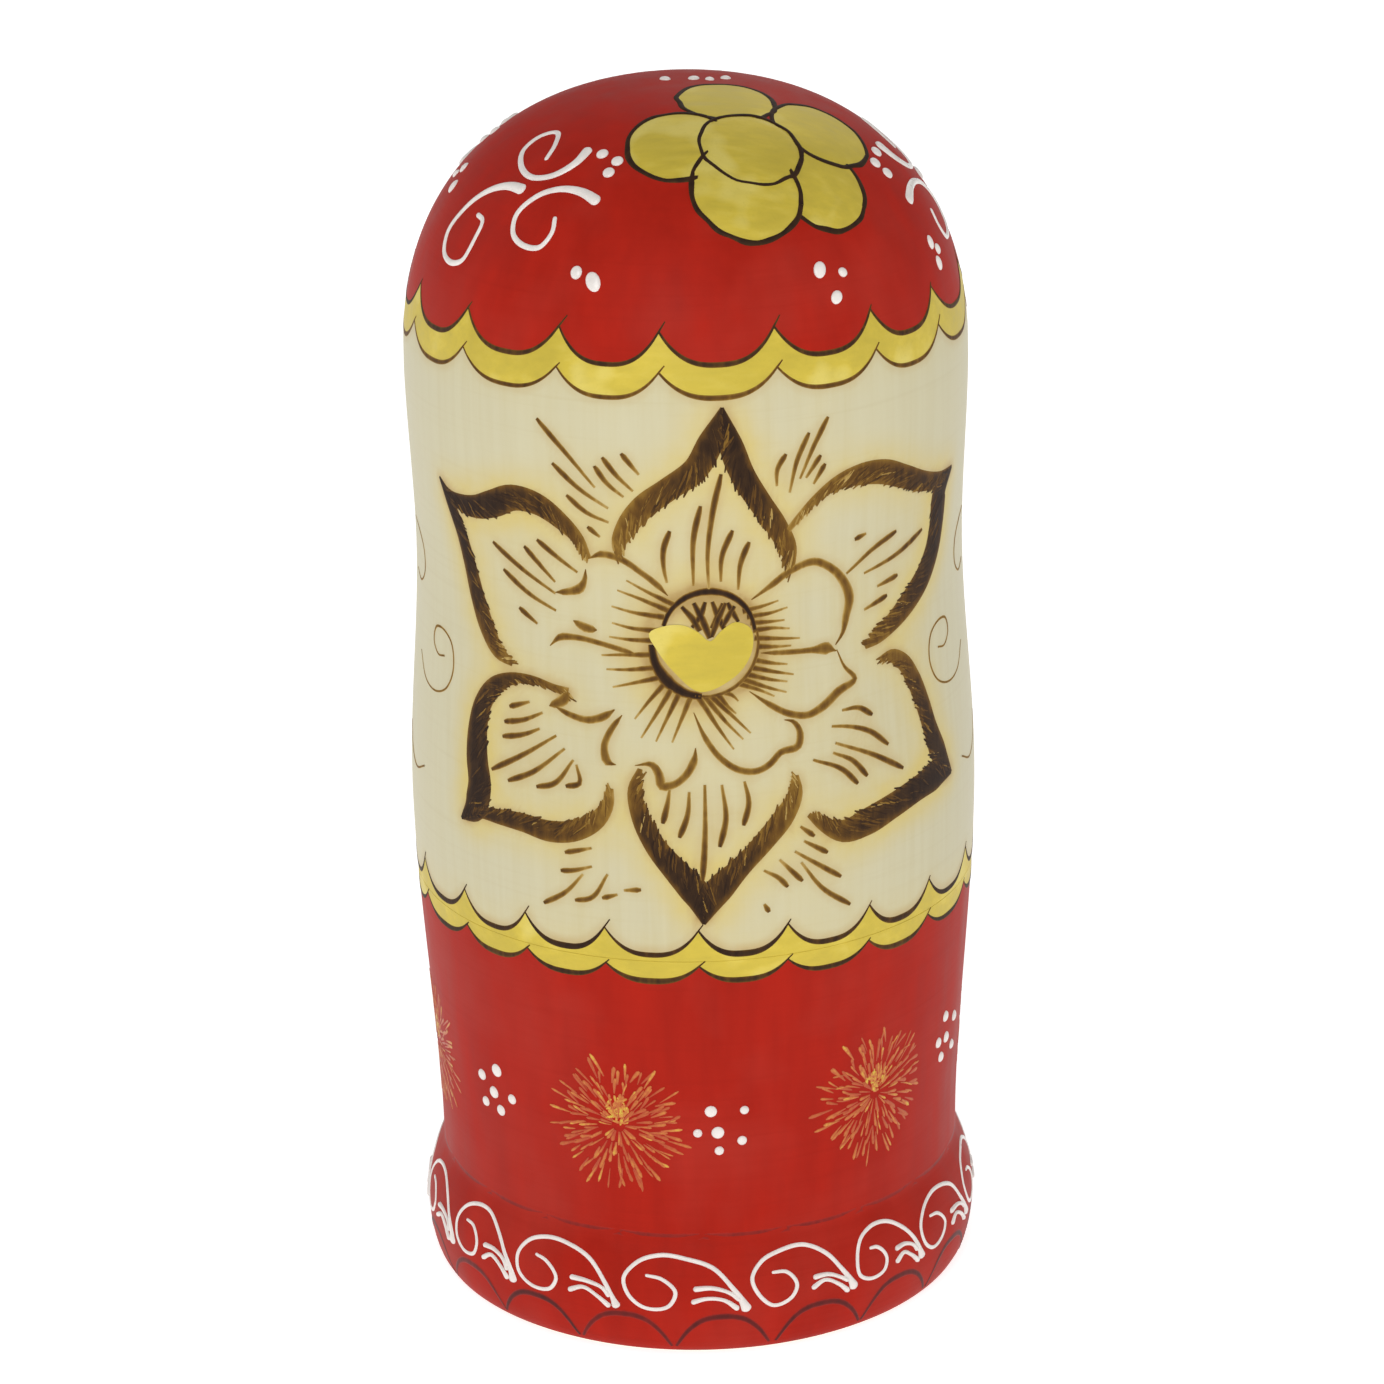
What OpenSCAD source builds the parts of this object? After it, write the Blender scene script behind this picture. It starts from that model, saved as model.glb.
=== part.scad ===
// A nest of seven turned wooden dolls. Six of them are hollow and open at a spigot joint;
// the seventh is solid. Each doll stands on the floor of the next larger one.

/* [Outer doll] */
// Height of the outer doll
doll_height = 200; // [180:1:240]
// Widest diameter, which the foot and the hip share
doll_d = 92.6; // [84:0.2:110]
// How far the edge of the flat base lies inside the widest radius
base_inset = 2.55; // [1:0.05:8]
// How far the ankle crease lies inside the widest radius
ankle_inset = 3; // [1:0.1:5]
// How far the waist lies inside the widest radius
waist_inset = 2.2; // [1:0.1:5]
// How far the shoulder, where the dome of the head begins, lies inside the widest radius
shoulder_inset = 1.3; // [0:0.1:4]

/* [Heights on the outer doll] */
// Height of the widest part of the foot
foot_bulge_z = 9; // [6:0.5:12]
// Height of the ankle crease
ankle_z = 20; // [16:0.5:26]
// Height of the joint between the two halves
seam_z = 70; // [58:0.5:78]
// Height of the hip
hip_z = 84; // [80:0.5:96]
// Height of the waist
waist_z = 127; // [115:0.5:140]
// Height of the shoulder
shoulder_z = 156; // [148:0.5:166]

/* [Walls of the outer doll] */
// Thickness of the wall at its narrowest place
wall_t = 5; // [4:0.1:7]
// Thickness of the floor
floor_t = 12; // [8:0.5:16]
// Thickness of the crown over the cavity
crown_t = 22; // [14:0.5:26]

/* [Joint of the outer doll] */
// Height of the spigot on the lower half
spigot_h = 10; // [6:0.5:14]
// Wall thickness of the spigot
spigot_t = 3.2; // [2:0.1:4]
// Bevel on the lip of the spigot
spigot_bevel = 0.8; // [0.2:0.1:1.2]
// Bevel on both edges of the joint line
seam_bevel = 0.2; // [0.1:0.05:0.5]

/* [Clearances of every doll] */
// Radial clearance of a spigot in its socket
fit_gap = 0.1; // [0.05:0.01:0.2]
// Clearance above the lip of a spigot
lip_gap = 0.5; // [0.3:0.1:1]
// Radial clearance between a doll and the one around it
nest_gap = 0.8; // [0.5:0.1:1.2]
// Clearance above the head of a doll
head_gap = 3; // [1:0.5:3.5]

/* [Hidden] */
$fn = 128;

// Squareness of the dome: 2 is an ellipse, more is fuller
dome_power = 2.3;
// Steps of the outline in each half of the foot
foot_steps = 12;
// Steps of the outline from the ankle to the joint, and from the joint to the shoulder
skirt_steps = 14;
chest_steps = 30;
// Steps of the outline over a dome
dome_steps = 26;

scarf_cream = [0.82, 0.78, 0.62];
skirt_red = [0.68, 0.12, 0.10];

doll_r = doll_d / 2;
base_r = doll_r - base_inset;
ankle_r = doll_r - ankle_inset;
waist_r = doll_r - waist_inset;
shoulder_r = doll_r - shoulder_inset;
bore_r = min(ankle_r, waist_r) - wall_t;
spigot_r = bore_r + spigot_t;

// Width of doll k as a scale, counted from 0 at the outer one: each fits the bore of the one around it
function across(k) = k == 0 ? 1 : (bore_r * across(k - 1) - nest_gap) / doll_r;

// Height of doll k, which fills the cavity of the one around it up to the head clearance
function height(k) =
    k == 0 ? doll_height : height(k - 1) * (1 - (floor_t + crown_t) / doll_height) - head_gap;
function upward(k) = height(k) / doll_height;

// Height at which doll k stands
function seat_z(k) = k == 0 ? 0 : seat_z(k - 1) + floor_t * upward(k - 1);

// Share of the way from one station to the next, with level ends
function eased(t) = t * t * (3 - 2 * t);
function mix(a, b, t) = a + (b - a) * t;

// Radius of the body between the ankle and the shoulder
function body_r(z) =
    z < hip_z ? mix(ankle_r, doll_r, eased((z - ankle_z) / (hip_z - ankle_z))) :
    z < waist_z ? mix(doll_r, waist_r, eased((z - hip_z) / (waist_z - hip_z))) :
    mix(waist_r, shoulder_r, eased((z - waist_z) / (shoulder_z - waist_z)));

// Points of the body from z_low to z_high
function body_points(z_low, z_high, steps) =
    [for (i = [0:steps]) let (z = mix(z_low, z_high, i / steps)) [body_r(z), z]];

// Foot: a quarter ellipse under the bulge and a quarter cosine wave over it
function foot_points() = concat(
    [for (i = [0:foot_steps - 1]) let (a = 90 * i / foot_steps)
        [mix(base_r, doll_r, sin(a)), foot_bulge_z * (1 - cos(a))]],
    [for (i = [0:foot_steps - 1]) let (t = i / foot_steps)
        [mix(ankle_r, doll_r, cos(90 * t)), mix(foot_bulge_z, ankle_z, t)]]
);

// Dome of radius r from z_low to its top, down to the axis
function dome_points(r, z_low, z_top) =
    [for (i = [0:dome_steps]) let (a = 90 * i / dome_steps)
        [r * pow(cos(a), 2 / dome_power), mix(z_low, z_top, pow(sin(a), 2 / dome_power))]];

// Outline of the lower half of the outer doll, from the base up to the joint
function lower_outline() =
    concat(foot_points(), body_points(ankle_z, seam_z - seam_bevel, skirt_steps));

// Outline of the upper half of the outer doll, from the joint up to the crown
function upper_outline() = concat(
    [for (p = body_points(seam_z + seam_bevel, shoulder_z, chest_steps)) if (p[1] < shoulder_z) p],
    dome_points(shoulder_r, shoulder_z, doll_height)
);

// Points of the outer doll at the scale and place of doll k
function placed(points, k) = [for (p = points) [p[0] * across(k), seat_z(k) + p[1] * upward(k)]];

// Radii and heights of doll k inside, where it stands
function bore_of(k) = bore_r * across(k);
function socket_of(k) = spigot_r * across(k) + fit_gap;
function seam_of(k) = seat_z(k) + seam_z * upward(k);
function lip_of(k) = seat_z(k) + (seam_z + spigot_h) * upward(k);
function crown_of(k) = seat_z(k) + height(k) - crown_t * upward(k);
function shoulder_of(k) = seat_z(k) + shoulder_z * upward(k);

// Lower half: a turned cup with a spigot standing on its rim
module bottom_half(k) {
    rim_r = body_r(seam_z) - seam_bevel;
    cup = placed(concat(
        [[0, 0]],
        lower_outline(),
        [[rim_r, seam_z], [spigot_r, seam_z],
         [spigot_r, seam_z + spigot_h - spigot_bevel], [spigot_r - spigot_bevel, seam_z + spigot_h],
         [bore_r, seam_z + spigot_h], [bore_r, floor_t], [0, floor_t]]
    ), k);
    color(skirt_red) rotate_extrude() polygon(cup);
}

// Upper half: a turned cap with a socket for the spigot and a domed cavity for the next doll
module top_half(k) {
    rim_r = (body_r(seam_z) - seam_bevel) * across(k);
    cavity = dome_points(bore_of(k), shoulder_of(k + 1), crown_of(k));
    socket_z = lip_of(k) + lip_gap;
    cap = concat(
        [[socket_of(k), seam_of(k)], [rim_r, seam_of(k)]],
        placed(upper_outline(), k),
        [for (i = [len(cavity) - 1:-1:0]) cavity[i]],
        [[bore_of(k), socket_z], [socket_of(k), socket_z]]
    );
    color(scarf_cream) rotate_extrude() polygon(cap);
}

// Smallest doll, which doesn't open
module solid_doll(k) {
    body = concat(lower_outline(), upper_outline());
    color(skirt_red) rotate_extrude() polygon(placed(concat([[0, 0]], body), k));
}

top_half(0);  // outer_doll_top
bottom_half(0);  // outer_doll_bottom
top_half(1);  // second_doll_top
bottom_half(1);  // second_doll_bottom
top_half(2);  // third_doll_top
bottom_half(2);  // third_doll_bottom
top_half(3);  // fourth_doll_top
bottom_half(3);  // fourth_doll_bottom
top_half(4);  // fifth_doll_top
bottom_half(4);  // fifth_doll_bottom
top_half(5);  // sixth_doll_top
bottom_half(5);  // sixth_doll_bottom
solid_doll(6);  // seventh_doll
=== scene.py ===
import math

import bpy
import numpy as np
from bpy.props import FloatProperty, FloatVectorProperty, IntProperty, PointerProperty
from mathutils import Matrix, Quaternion, Vector


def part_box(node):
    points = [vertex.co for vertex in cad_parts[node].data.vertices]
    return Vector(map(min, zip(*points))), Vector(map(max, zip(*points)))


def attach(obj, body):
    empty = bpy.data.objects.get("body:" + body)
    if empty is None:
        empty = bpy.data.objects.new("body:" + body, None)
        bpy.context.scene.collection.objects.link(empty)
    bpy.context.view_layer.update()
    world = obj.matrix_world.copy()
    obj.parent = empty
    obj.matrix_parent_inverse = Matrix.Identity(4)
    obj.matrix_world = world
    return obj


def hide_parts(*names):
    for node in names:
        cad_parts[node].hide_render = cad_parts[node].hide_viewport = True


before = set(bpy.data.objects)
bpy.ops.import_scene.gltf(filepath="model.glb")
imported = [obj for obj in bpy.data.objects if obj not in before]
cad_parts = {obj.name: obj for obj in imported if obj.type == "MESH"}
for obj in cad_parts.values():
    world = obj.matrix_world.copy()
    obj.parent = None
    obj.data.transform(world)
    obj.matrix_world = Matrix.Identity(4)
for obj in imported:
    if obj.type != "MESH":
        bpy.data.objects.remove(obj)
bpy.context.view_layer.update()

bl_info = {
    "name": "Nesting doll looks",
    "version": (1, 0, 0),
    "blender": (4, 5, 0),
    "location": "3D View > Sidebar > Nest",
    "description": "Turned shells, burnt drawing and paint of a nest of seven wooden dolls",
    "category": "Object",
}

MM = 0.001
DOLLS = ("outer", "second", "third", "fourth", "fifth", "sixth", "seventh")
# Ornament is drawn on the outer doll in millimetres: x is turn times this radius, z the height.
DRAWING_R = 45.0
TURN = 2 * math.pi
# Turn of the side with the face.
FRONT = math.pi

# Edges of the six outer petals, two to a petal, from the tip to the base: x, z and width.
PETAL_EDGES = (
    ((-47.5, 143, .3), (-45, 141.2, 1.2), (-41.5, 140.3, 2.8), (-37.5, 140.6, 3.6), (-33.5, 142, 4.2),
     (-29, 143.9, 4), (-24.5, 143.6, 3.6), (-20.5, 141.4, 2.8), (-17.5, 138.6, 1.8), (-16, 135.8, .8)),
    ((-47.5, 143, .3), (-44.5, 139.5, 2.2), (-42, 135.5, 2.6), (-40, 130.5, 3), (-38.3, 125.5, 3.4),
     (-36, 120.8, 3.4), (-33.5, 117.6, 2.4), (-30.5, 116.2, .6)),
    ((-41.8, 87.7, .3), (-38.5, 90.5, 4.6), (-37.3, 94.5, 5.2), (-38, 99, 5), (-38, 103.5, 4.4),
     (-37, 108, 3.6), (-34.3, 111.8, 2.8), (-30.5, 113.9, 1.8), (-26, 114.5, 1.1), (-22.5, 113.9, 1),
     (-20, 113.4, 1.6)),
    ((-41.8, 87.7, .3), (-37, 90, 1.6), (-33, 90.5, 2.4), (-28, 90.7, 3), (-23, 90.3, 3.4),
     (-18.5, 91.2, 3.2), (-15, 93.5, 2.6), (-13.2, 96.5, 1.6), (-12.8, 98.8, .6)),
    ((1.2, 76.5, .3), (.2, 81.5, 4.2), (-2.8, 85.5, 3.8), (-6, 89.8, 3.2), (-8.4, 95, 2.6),
     (-9.1, 99, 1.9), (-8.2, 102.3, .6)),
    ((1.2, 76.5, .3), (3.2, 81.8, 4.2), (7, 86, 3.2), (10.8, 90, 3.2), (14.2, 94, 3.2), (16, 97.3, 2),
     (16.1, 100, .6)),
    ((50, 91.2, .4), (46, 96, 4.2), (44, 100.5, 3.6), (42.2, 105.5, 3.4), (40.2, 110, 3.2),
     (37.6, 113.8, 2.6), (34.8, 115.5, 1.8), (32.5, 115.6, .5)),
    ((50, 91.2, .4), (45.5, 92.6, 4.8), (40, 92.1, 4.4), (34, 91, 4.4), (28.5, 89.8, 4.6),
     (24, 89.3, 3.6), (20.5, 91, 2), (17.9, 93.2, .6)),
    ((54, 141.3, .4), (48.5, 140.9, 2.2), (43, 142.1, 3.2), (38, 144.2, 3.6), (33, 146.2, 3.8),
     (28.5, 146.8, 3.4), (24, 146.3, 2.2), (20.3, 144.4, 1.3), (17.5, 141.9, 1), (15.6, 139.9, .8)),
    ((54, 141.3, .4), (49.3, 138.8, 5), (48.5, 134, 5), (47.2, 130, 4.8), (44.5, 126.5, 4.6),
     (40, 123.3, 4.2), (35.5, 120.8, 3.2), (31.5, 119, 2), (29.5, 118.1, .4)),
    ((5.3, 160.5, .3), (3.6, 155.5, 3.6), (1.2, 151, 3.8), (-3, 147.8, 3.6), (-7, 144.8, 3.6),
     (-9.8, 141.3, 3), (-11.2, 138.3, 1.8), (-11.4, 137.3, 1)),
    ((5.3, 160.5, .3), (6.5, 154.8, 3.4), (8.4, 149.5, 3.6), (11, 145, 3.4), (13.8, 140.6, 3.2),
     (15.7, 136.6, 2.6), (16.2, 133.3, .8)),
)
# How dark each of those edges is burnt.
PETAL_TONES = (1, 1, 1, .8, .95, .8, .88, 1, .76, 1, .78, .95)
# Outlines of the inner petals: x, z and width.
INNER_PETALS = (
    ((-16, 135.8, .6), (-14, 136.7, .9), (-11, 136.2, .8), (-7.5, 134, .7), (-4.8, 131.8, .7),
     (-3.5, 130.4, .5)),
    ((-16.6, 134, .3), (-16.9, 132, .6), (-17.6, 130.8, 1.2), (-19.5, 130, .9), (-22, 129.5, .4)),
    ((-23.2, 120.6, .5), (-21.5, 122.2, .9), (-18.5, 122.6, .7), (-14.5, 122.1, .6), (-10.5, 121.2, .6),
     (-8, 120.5, .5)),
    ((-19, 125.3, .4), (-17, 124.4, 1.2), (-15, 124.2, .6)),
    ((-20, 113.6, 1.2), (-20.8, 112.2, 1.5), (-23.3, 110.8, .7)),
    ((-22.5, 111, .4), (-19.5, 109.9, .7), (-16.5, 109.5, .9), (-14, 110.3, 1), (-12.2, 111.6, .8)),
    ((-11, 110.8, .4), (-12.8, 108.3, .7), (-13.9, 105, .9), (-13.3, 103, 1.1), (-12, 102.7, .3)),
    ((-9, 102.8, .3), (-6.3, 103, .8), (-5.3, 101.5, 1.1), (-4.8, 99.6, 1.2), (-3, 99.9, .9),
     (-1, 101.6, .9), (.2, 104, .9), (.4, 105.8, .5)),
    ((14.5, 109.2, .5), (15.8, 108.8, 1.1), (16.9, 107.2, .9), (16.6, 104.7, 1), (13.6, 104, .8),
     (12.2, 102.6, .8), (10, 101.5, .8), (7.3, 101.8, .8), (4.5, 103.7, .7), (2, 107.2, .6),
     (.2, 111.5, .5)),
    ((24, 119, .4), (25.3, 116, .3), (27.2, 113.6, .7), (24, 112.2, 1.2), (21.3, 110.4, 1.2),
     (18.5, 109.4, .9), (15.3, 110.1, .8), (12, 112.1, .7), (9, 114.4, .5)),
    ((9.6, 129.2, .9), (12.5, 131, .8), (16.3, 133.3, .9), (20, 134.1, 1), (23, 132.6, 1),
     (25.5, 129.8, 1.3), (26.6, 127, 1.5), (25.9, 124, 1.1), (25.2, 121.5, 1), (23.8, 119.8, .9)),
    ((11, 120.4, .5), (15.5, 120, .6), (19.8, 119.7, .8), (22.3, 119.5, 1.7), (23.9, 118.8, .6)),
)
# Fine lines that run out from the middle of the flower: x and z of both ends.
HEART_RAYS = (
    (-3, 129.8, -10, 132.7), (-4, 128.6, -11.5, 131), (-4.3, 127, -12.5, 128.3),
    (-6.5, 125, -12.5, 125.6), (-7.2, 123.2, -13, 123.3), (-7, 120.6, -14.3, 120.2),
    (-6.3, 118.3, -13.5, 118), (-5.5, 116.5, -12.5, 115.2), (-5, 115.5, -9, 110.3),
    (-3.5, 115, -8, 107.3), (-2.2, 114.3, -5.7, 106.8), (-.5, 113, -3.2, 106.7), (.8, 113.3, 6.3, 105.3),
    (2, 113, 7.8, 106.8), (3, 113.5, 9, 107.7), (4, 114.5, 6.8, 111), (5, 115, 7.2, 113),
    (10, 129, 14, 128.6), (10.5, 127.5, 15.5, 127.3), (10.7, 126, 15, 125.3), (11, 124.5, 15.8, 123.8),
    (10.8, 123, 17.5, 122), (10.5, 121.5, 16, 121), (10.2, 119.3, 15.3, 118.1), (9.5, 118.2, 16.3, 116.3),
    (9, 117, 15.2, 115.3), (8.5, 116, 15, 113.6), (8, 115, 13, 113.2),
)
# Veins of the outer petals, from the thick outer end to the thin inner one: x and z.
VEINS = (
    ((-34, 135.6), (-29, 132.8), (-22, 129.3)), ((-27.5, 136.2), (-22, 131.2)),
    ((-25, 137.7), (-20, 134.5), (-18, 133.3)), ((-32, 131.5), (-27, 128.5), (-22, 126.5)),
    ((-29, 125.8), (-25.5, 123.8)), ((-31, 109.2), (-27, 110.8)),
    ((-32, 106.5), (-28, 107.7), (-24.5, 109.5)), ((-32.3, 104), (-28, 105.3), (-25, 106.8)),
    ((-34.5, 98), (-28, 102), (-22, 106.2)), ((-31, 97), (-26.5, 99.3), (-20.5, 104.3)),
    ((-25.5, 97.2), (-22.5, 98.2), (-19, 102.7)), ((-20.3, 98.2), (-18, 99), (-18.5, 102)),
    ((-4.8, 93.5), (-4, 97), (-3.7, 99)), ((-2.3, 91.2), (-1, 95), (-.7, 98.7)),
    ((1.1, 84), (1.6, 92), (1.7, 99.8)), ((3.8, 89.5), (4.8, 94), (4.3, 99.7)),
    ((7.5, 92.8), (8.4, 96.5), (7.8, 100)), ((30.3, 107), (27.5, 108.8), (24.5, 109)),
    ((33.3, 101.3), (29.5, 104.5), (25, 106.3), (22.5, 106.8)), ((36.3, 96.5), (30, 100.5), (23, 104)),
    ((28.7, 97.3), (26, 100.5), (22.5, 102.5)), ((26.8, 96.5), (24, 99.5), (19, 102)),
    ((27.5, 136.3), (29.8, 136.8)), ((36.5, 135.6), (31.5, 134), (26, 131)),
    ((43.5, 134), (37, 131.8), (29.5, 130.3)), ((37, 128.2), (32.3, 127.5)),
    ((34.5, 125.5), (29.5, 124.3)), ((-3, 141), (-4, 138), (-4, 134.5), (-3.6, 132.5)),
    ((1.8, 145), (.7, 140), (.5, 132)), ((5, 150), (3.5, 143), (2.8, 137), (2.9, 131.3)),
    ((6.7, 140.8), (5, 136.5), (4.8, 132.5)), ((9.3, 138.7), (8, 135.5), (7.5, 131)),
)
# Loose strokes between the outer petals, from the thick end to the thin one: x and z.
SPRAYS = (
    ((-24, 157.5), (-18.5, 152), (-14.5, 147.5)), ((-21.5, 150.7), (-17, 147), (-12.5, 144.3)),
    ((-19.3, 145.8), (-16, 143.3), (-12.5, 142)), ((-16, 141), (-14, 139.5)),
    ((-14.5, 151), (-12.5, 148.3), (-10, 146.3)), ((-13.2, 152.5), (-11, 149.7), (-8.5, 147.3)),
    ((-10.2, 153.3), (-7.5, 150)), ((22.3, 157.2), (20, 153.3), (17.5, 148)),
    ((19, 155.2), (17, 151), (15.8, 146)), ((15.2, 152.3), (13.8, 150), (13.7, 147.3)),
    ((21, 151.3), (18.5, 148)), ((21.8, 149.8), (19.8, 146.8)), ((-20.5, 87.2), (-16, 88.6)),
    ((-21.3, 84), (-19.5, 84.3), (-16, 85.5)), ((-24.5, 77.8), (-20.5, 80.5), (-17.5, 84)),
    ((-19, 79.3), (-16.5, 80), (-13.5, 84.5)), ((-14.5, 80.3), (-12, 81.2)), ((-8.3, 82.3), (-11, 82)),
    ((18.8, 89.5), (16.5, 91.5)), ((21, 86.3), (17, 89)), ((23.3, 81.7), (19.5, 84.5), (15.5, 87.5)),
    ((16.7, 82.3), (13, 86.5)), ((25, 76.5), (20, 80.5), (16.5, 85.5)),
    ((14.3, 81.7), (13, 83.3), (10.5, 85)), ((11.3, 77.8), (10.5, 79.3)),
)
# Thin curls on the left side, and mirrored on the right: x and z.
SIDE_CURLS = (
    ((-48, 113), (-50.5, 112.6), (-52.3, 114.3), (-51.5, 116.8), (-49, 117.3), (-46, 116), (-45, 112),
     (-47, 108), (-51, 106.2), (-56, 107), (-59, 110.5)),
    ((-64, 131.5), (-60.5, 130.5), (-57.5, 128), (-57.2, 124.5), (-60, 122), (-63.5, 123)),
    ((-66, 96), (-64.5, 92.5), (-60, 90.2), (-55, 92)),
)
# The middle of the flower: a disc, arcs of a ring about it, a gold heart over it and a scribble.
HEART_DISC = (2.2, 122.4, 8.4)
# Middle and radius of each arc, its ends in degrees, width and tone.
HEART_ARCS = (
    (2.8, 123.7, 7.3, 166, 5, 1.15, .95), (2.2, 122.4, 8.4, 180, 265, 2, 1),
    (2.2, 122.4, 8.4, 258, 372, .6, .5),
)
GOLD_HEART = (
    (-6.6, 124.2), (-4, 125.5), (-1.2, 125.6), (1.2, 124.4), (3, 122.9), (4.6, 124.4), (7, 125.8),
    (9.4, 124.6), (9.8, 122.2), (8.6, 118.9), (5.6, 116.2), (1.3, 114.8), (-2.7, 118), (-5.4, 121.6),
)
SCRIBBLE = (
    ((-1.4, 128.6, .5), (.3, 126.6, 1), (1.4, 124.6, .8)),
    ((.5, 129.2, .6), (1.9, 126.2, 1.1), (3, 123.4, .9)),
    ((2.3, 129.3, .5), (1.5, 127, .9), (.2, 125.2, .5)),
    ((3.2, 123.6, .6), (4.2, 126.2, 1), (5.5, 129, .5)),
    ((3.4, 129.3, .5), (4.3, 126.8, 1), (5.2, 124.8, .7)), ((5, 129, .4), (4.2, 127, .8), (3.2, 125, .5)),
    ((6.9, 128.4, .5), (5.9, 126.8, .9), (5, 125.2, .5)),
    ((5.8, 129, .5), (6.7, 127.2, .9), (7.5, 125.8, .4)),
)
# The scarf's flower, on a flat map of the dome, from its lowest layer of paint to the top one: u to the
# right, v away from the camera, and a radius.
SCARF_DISC = (10.8, -22.5, 8.2)
SCARF_PETALS = ((22.4, -26.2, 8.5), (7, -9, 7.6), (22.3, -12.7, 8.1), (-.5, -23, 8.2), (10.4, -31.9, 9.1))
# White scrolls of the scarf on the same map, from the bold end to the thin one.
SCARF_SCROLLS = (
    ((-14.5, -21), (-17, -23.5), (-21, -24.3), (-24.5, -22.5), (-26.3, -18), (-25.5, -14), (-22.5, -12.5),
     (-19.8, -13.5), (-20.2, -17), (-22, -20)),
    ((-26.2, -24.3), (-29, -21), (-33, -18.5), (-38, -17.3), (-43, -17.8), (-44.7, -20.5), (-43.5, -25),
     (-41, -27), (-37.5, -26), (-35, -24), (-35.8, -21.5)),
    ((-13.8, -33), (-16.5, -30), (-20, -27.8), (-24.5, -27), (-28.5, -28.3), (-29.6, -31), (-28, -34.5),
     (-25, -36.3), (-22.5, -35), (-21.5, -32.5)),
)
SCARF_DOTS = (
    (-12.6, -23.3, 1), (-10.3, -25.7, 1), (-11.8, -27.7, 1), (-19.3, -43.2, 1.1), (-16.5, -45.6, 1.4),
    (24.4, -41.5, 1.2), (28.9, -39.8, .9), (28.7, -44.2, 1), (-37.5, -3, .9), (-40.2, -6, 1),
    (-39.5, -1, .8), (-2.5, 2, .8), (2, 2, .9), (4.5, 1.5, .7), (7, 3, .8), (46.3, -18.2, 1),
    (48.5, -16.8, .9), (49.7, -19.2, 1),
)
# Groups of white dots on the skirt: x from the group's turn, z and radius.
DOT_GROUPS = (
    ((-4, 42, 1.2), (.2, 44.2, 1.2), (-1, 39.8, 1.2), (3.5, 40, 1.1), (-3.5, 37.3, 1.1), (.5, 37, 1.2)),
    ((-1.7, 43.1, 1.1), (3.8, 43, .9), (-3.9, 39.2, .9), (-.6, 39.2, 1.2), (3.4, 37.5, 1),
     (-.4, 35.9, 1)),
    ((-1.5, 47, 1.1), (3.5, 45, 1), (-4, 43.2, 1.1), (-.5, 42.8, 1.2), (-2.5, 40, 1.1), (3, 40, 1)),
)
DOT_TURNS = (-48, 4.5, 68, 128, 187, 248)
BURST_TURNS = (-17.2, 40.1, 98, 158, 217, 280.5)
BURST_HEIGHTS = (40, 41, 40.5, 39.5, 41, 40)
# One scroll of the foot, with its two tails: x, z and width.
FOOT_SCROLL = (
    ((-29, 14.3, .9), (-26.5, 13.8, 1.1), (-24.5, 11.5, 1.2), (-25.5, 9.7, 1.2), (-29, 8.8, 1.2),
     (-31.5, 10.5, 1.2), (-32.3, 13.5, 1.2), (-30.5, 16, 1.2), (-27, 17.4, 1.2), (-23, 17.2, 1.2),
     (-19, 15.5, 1.3), (-16.5, 12.5, 1.4), (-14.6, 9.6, 2.3), (-14, 8.2, 3.6)),
    ((-22, 12.3, 1.7), (-19, 12.2, 1.3), (-16.5, 11.3, 1.2), (-15.3, 10, 1.6)),
    ((-22.3, 10, 1.7), (-20, 11, 1.2), (-17.5, 10, 1.2), (-15.5, 8.3, 1.8)),
)
# Left end and length of that scroll, and the left ends of the foot's scrolls that the photograph shows.
FOOT_SCROLL_START, FOOT_SCROLL_LENGTH = -32.3, 19.0
FOOT_STARTS = (-49, -32.3, -12.8, 8, 26.2, 41)


def linear(red, green, blue):
    """Linear colour of a display colour given in 0 to 255."""
    return tuple(((c / 255 + 0.055) / 1.055) ** 2.4 for c in (red, green, blue))


def length(name, description, default):
    """A length, in metres."""
    return FloatProperty(name=name, description=description, default=default, unit="LENGTH")


def count(name, description, default, least):
    """How many there are of something."""
    return IntProperty(name=name, description=description, default=default, min=least)


def power(name, description, default):
    """The power of a light, in watts."""
    return FloatProperty(name=name, description=description, default=default, unit="POWER")


def paint(name, description, *display):
    """A colour, as it is displayed in 0 to 255."""
    return FloatVectorProperty(name=name, description=description, default=linear(*display), subtype="COLOR")


def spot(name, description, *default):
    """A place in the scene, in metres."""
    return FloatVectorProperty(
        name=name, description=description, default=default, subtype="TRANSLATION", unit="LENGTH")


class NEST_PG_drawing(bpy.types.PropertyGroup):
    """Sizes and counts of the ornament on the outer doll."""
    burnt_line: length("Burnt line", "Width of a plain burnt line", 0.0009)
    white_line: length("White line", "Width of a raised white line", 0.00105)
    relief: length("Relief", "Height of the raised white paint", 0.00042)
    film: length("Film", "Thickness of a flat layer of paint", 0.00004)
    scarf_lobes: count("Scarf lobes", "Scallops round the edge of the scarf", 16, 6)
    skirt_lobes: count("Skirt lobes", "Scallops round the top of the skirt", 20, 6)
    foot_scrolls: count("Foot scrolls", "White scrolls round the foot", 16, 4)
    foot_arcs: count("Foot arcs", "Burnt arcs under the scrolls", 18, 4)
    columns: count("Columns", "Columns of the outer doll's turned shells", 360, 48)
    seed: IntProperty(name="Seed", description="Start of the hand-made variation", default=11)


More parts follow.
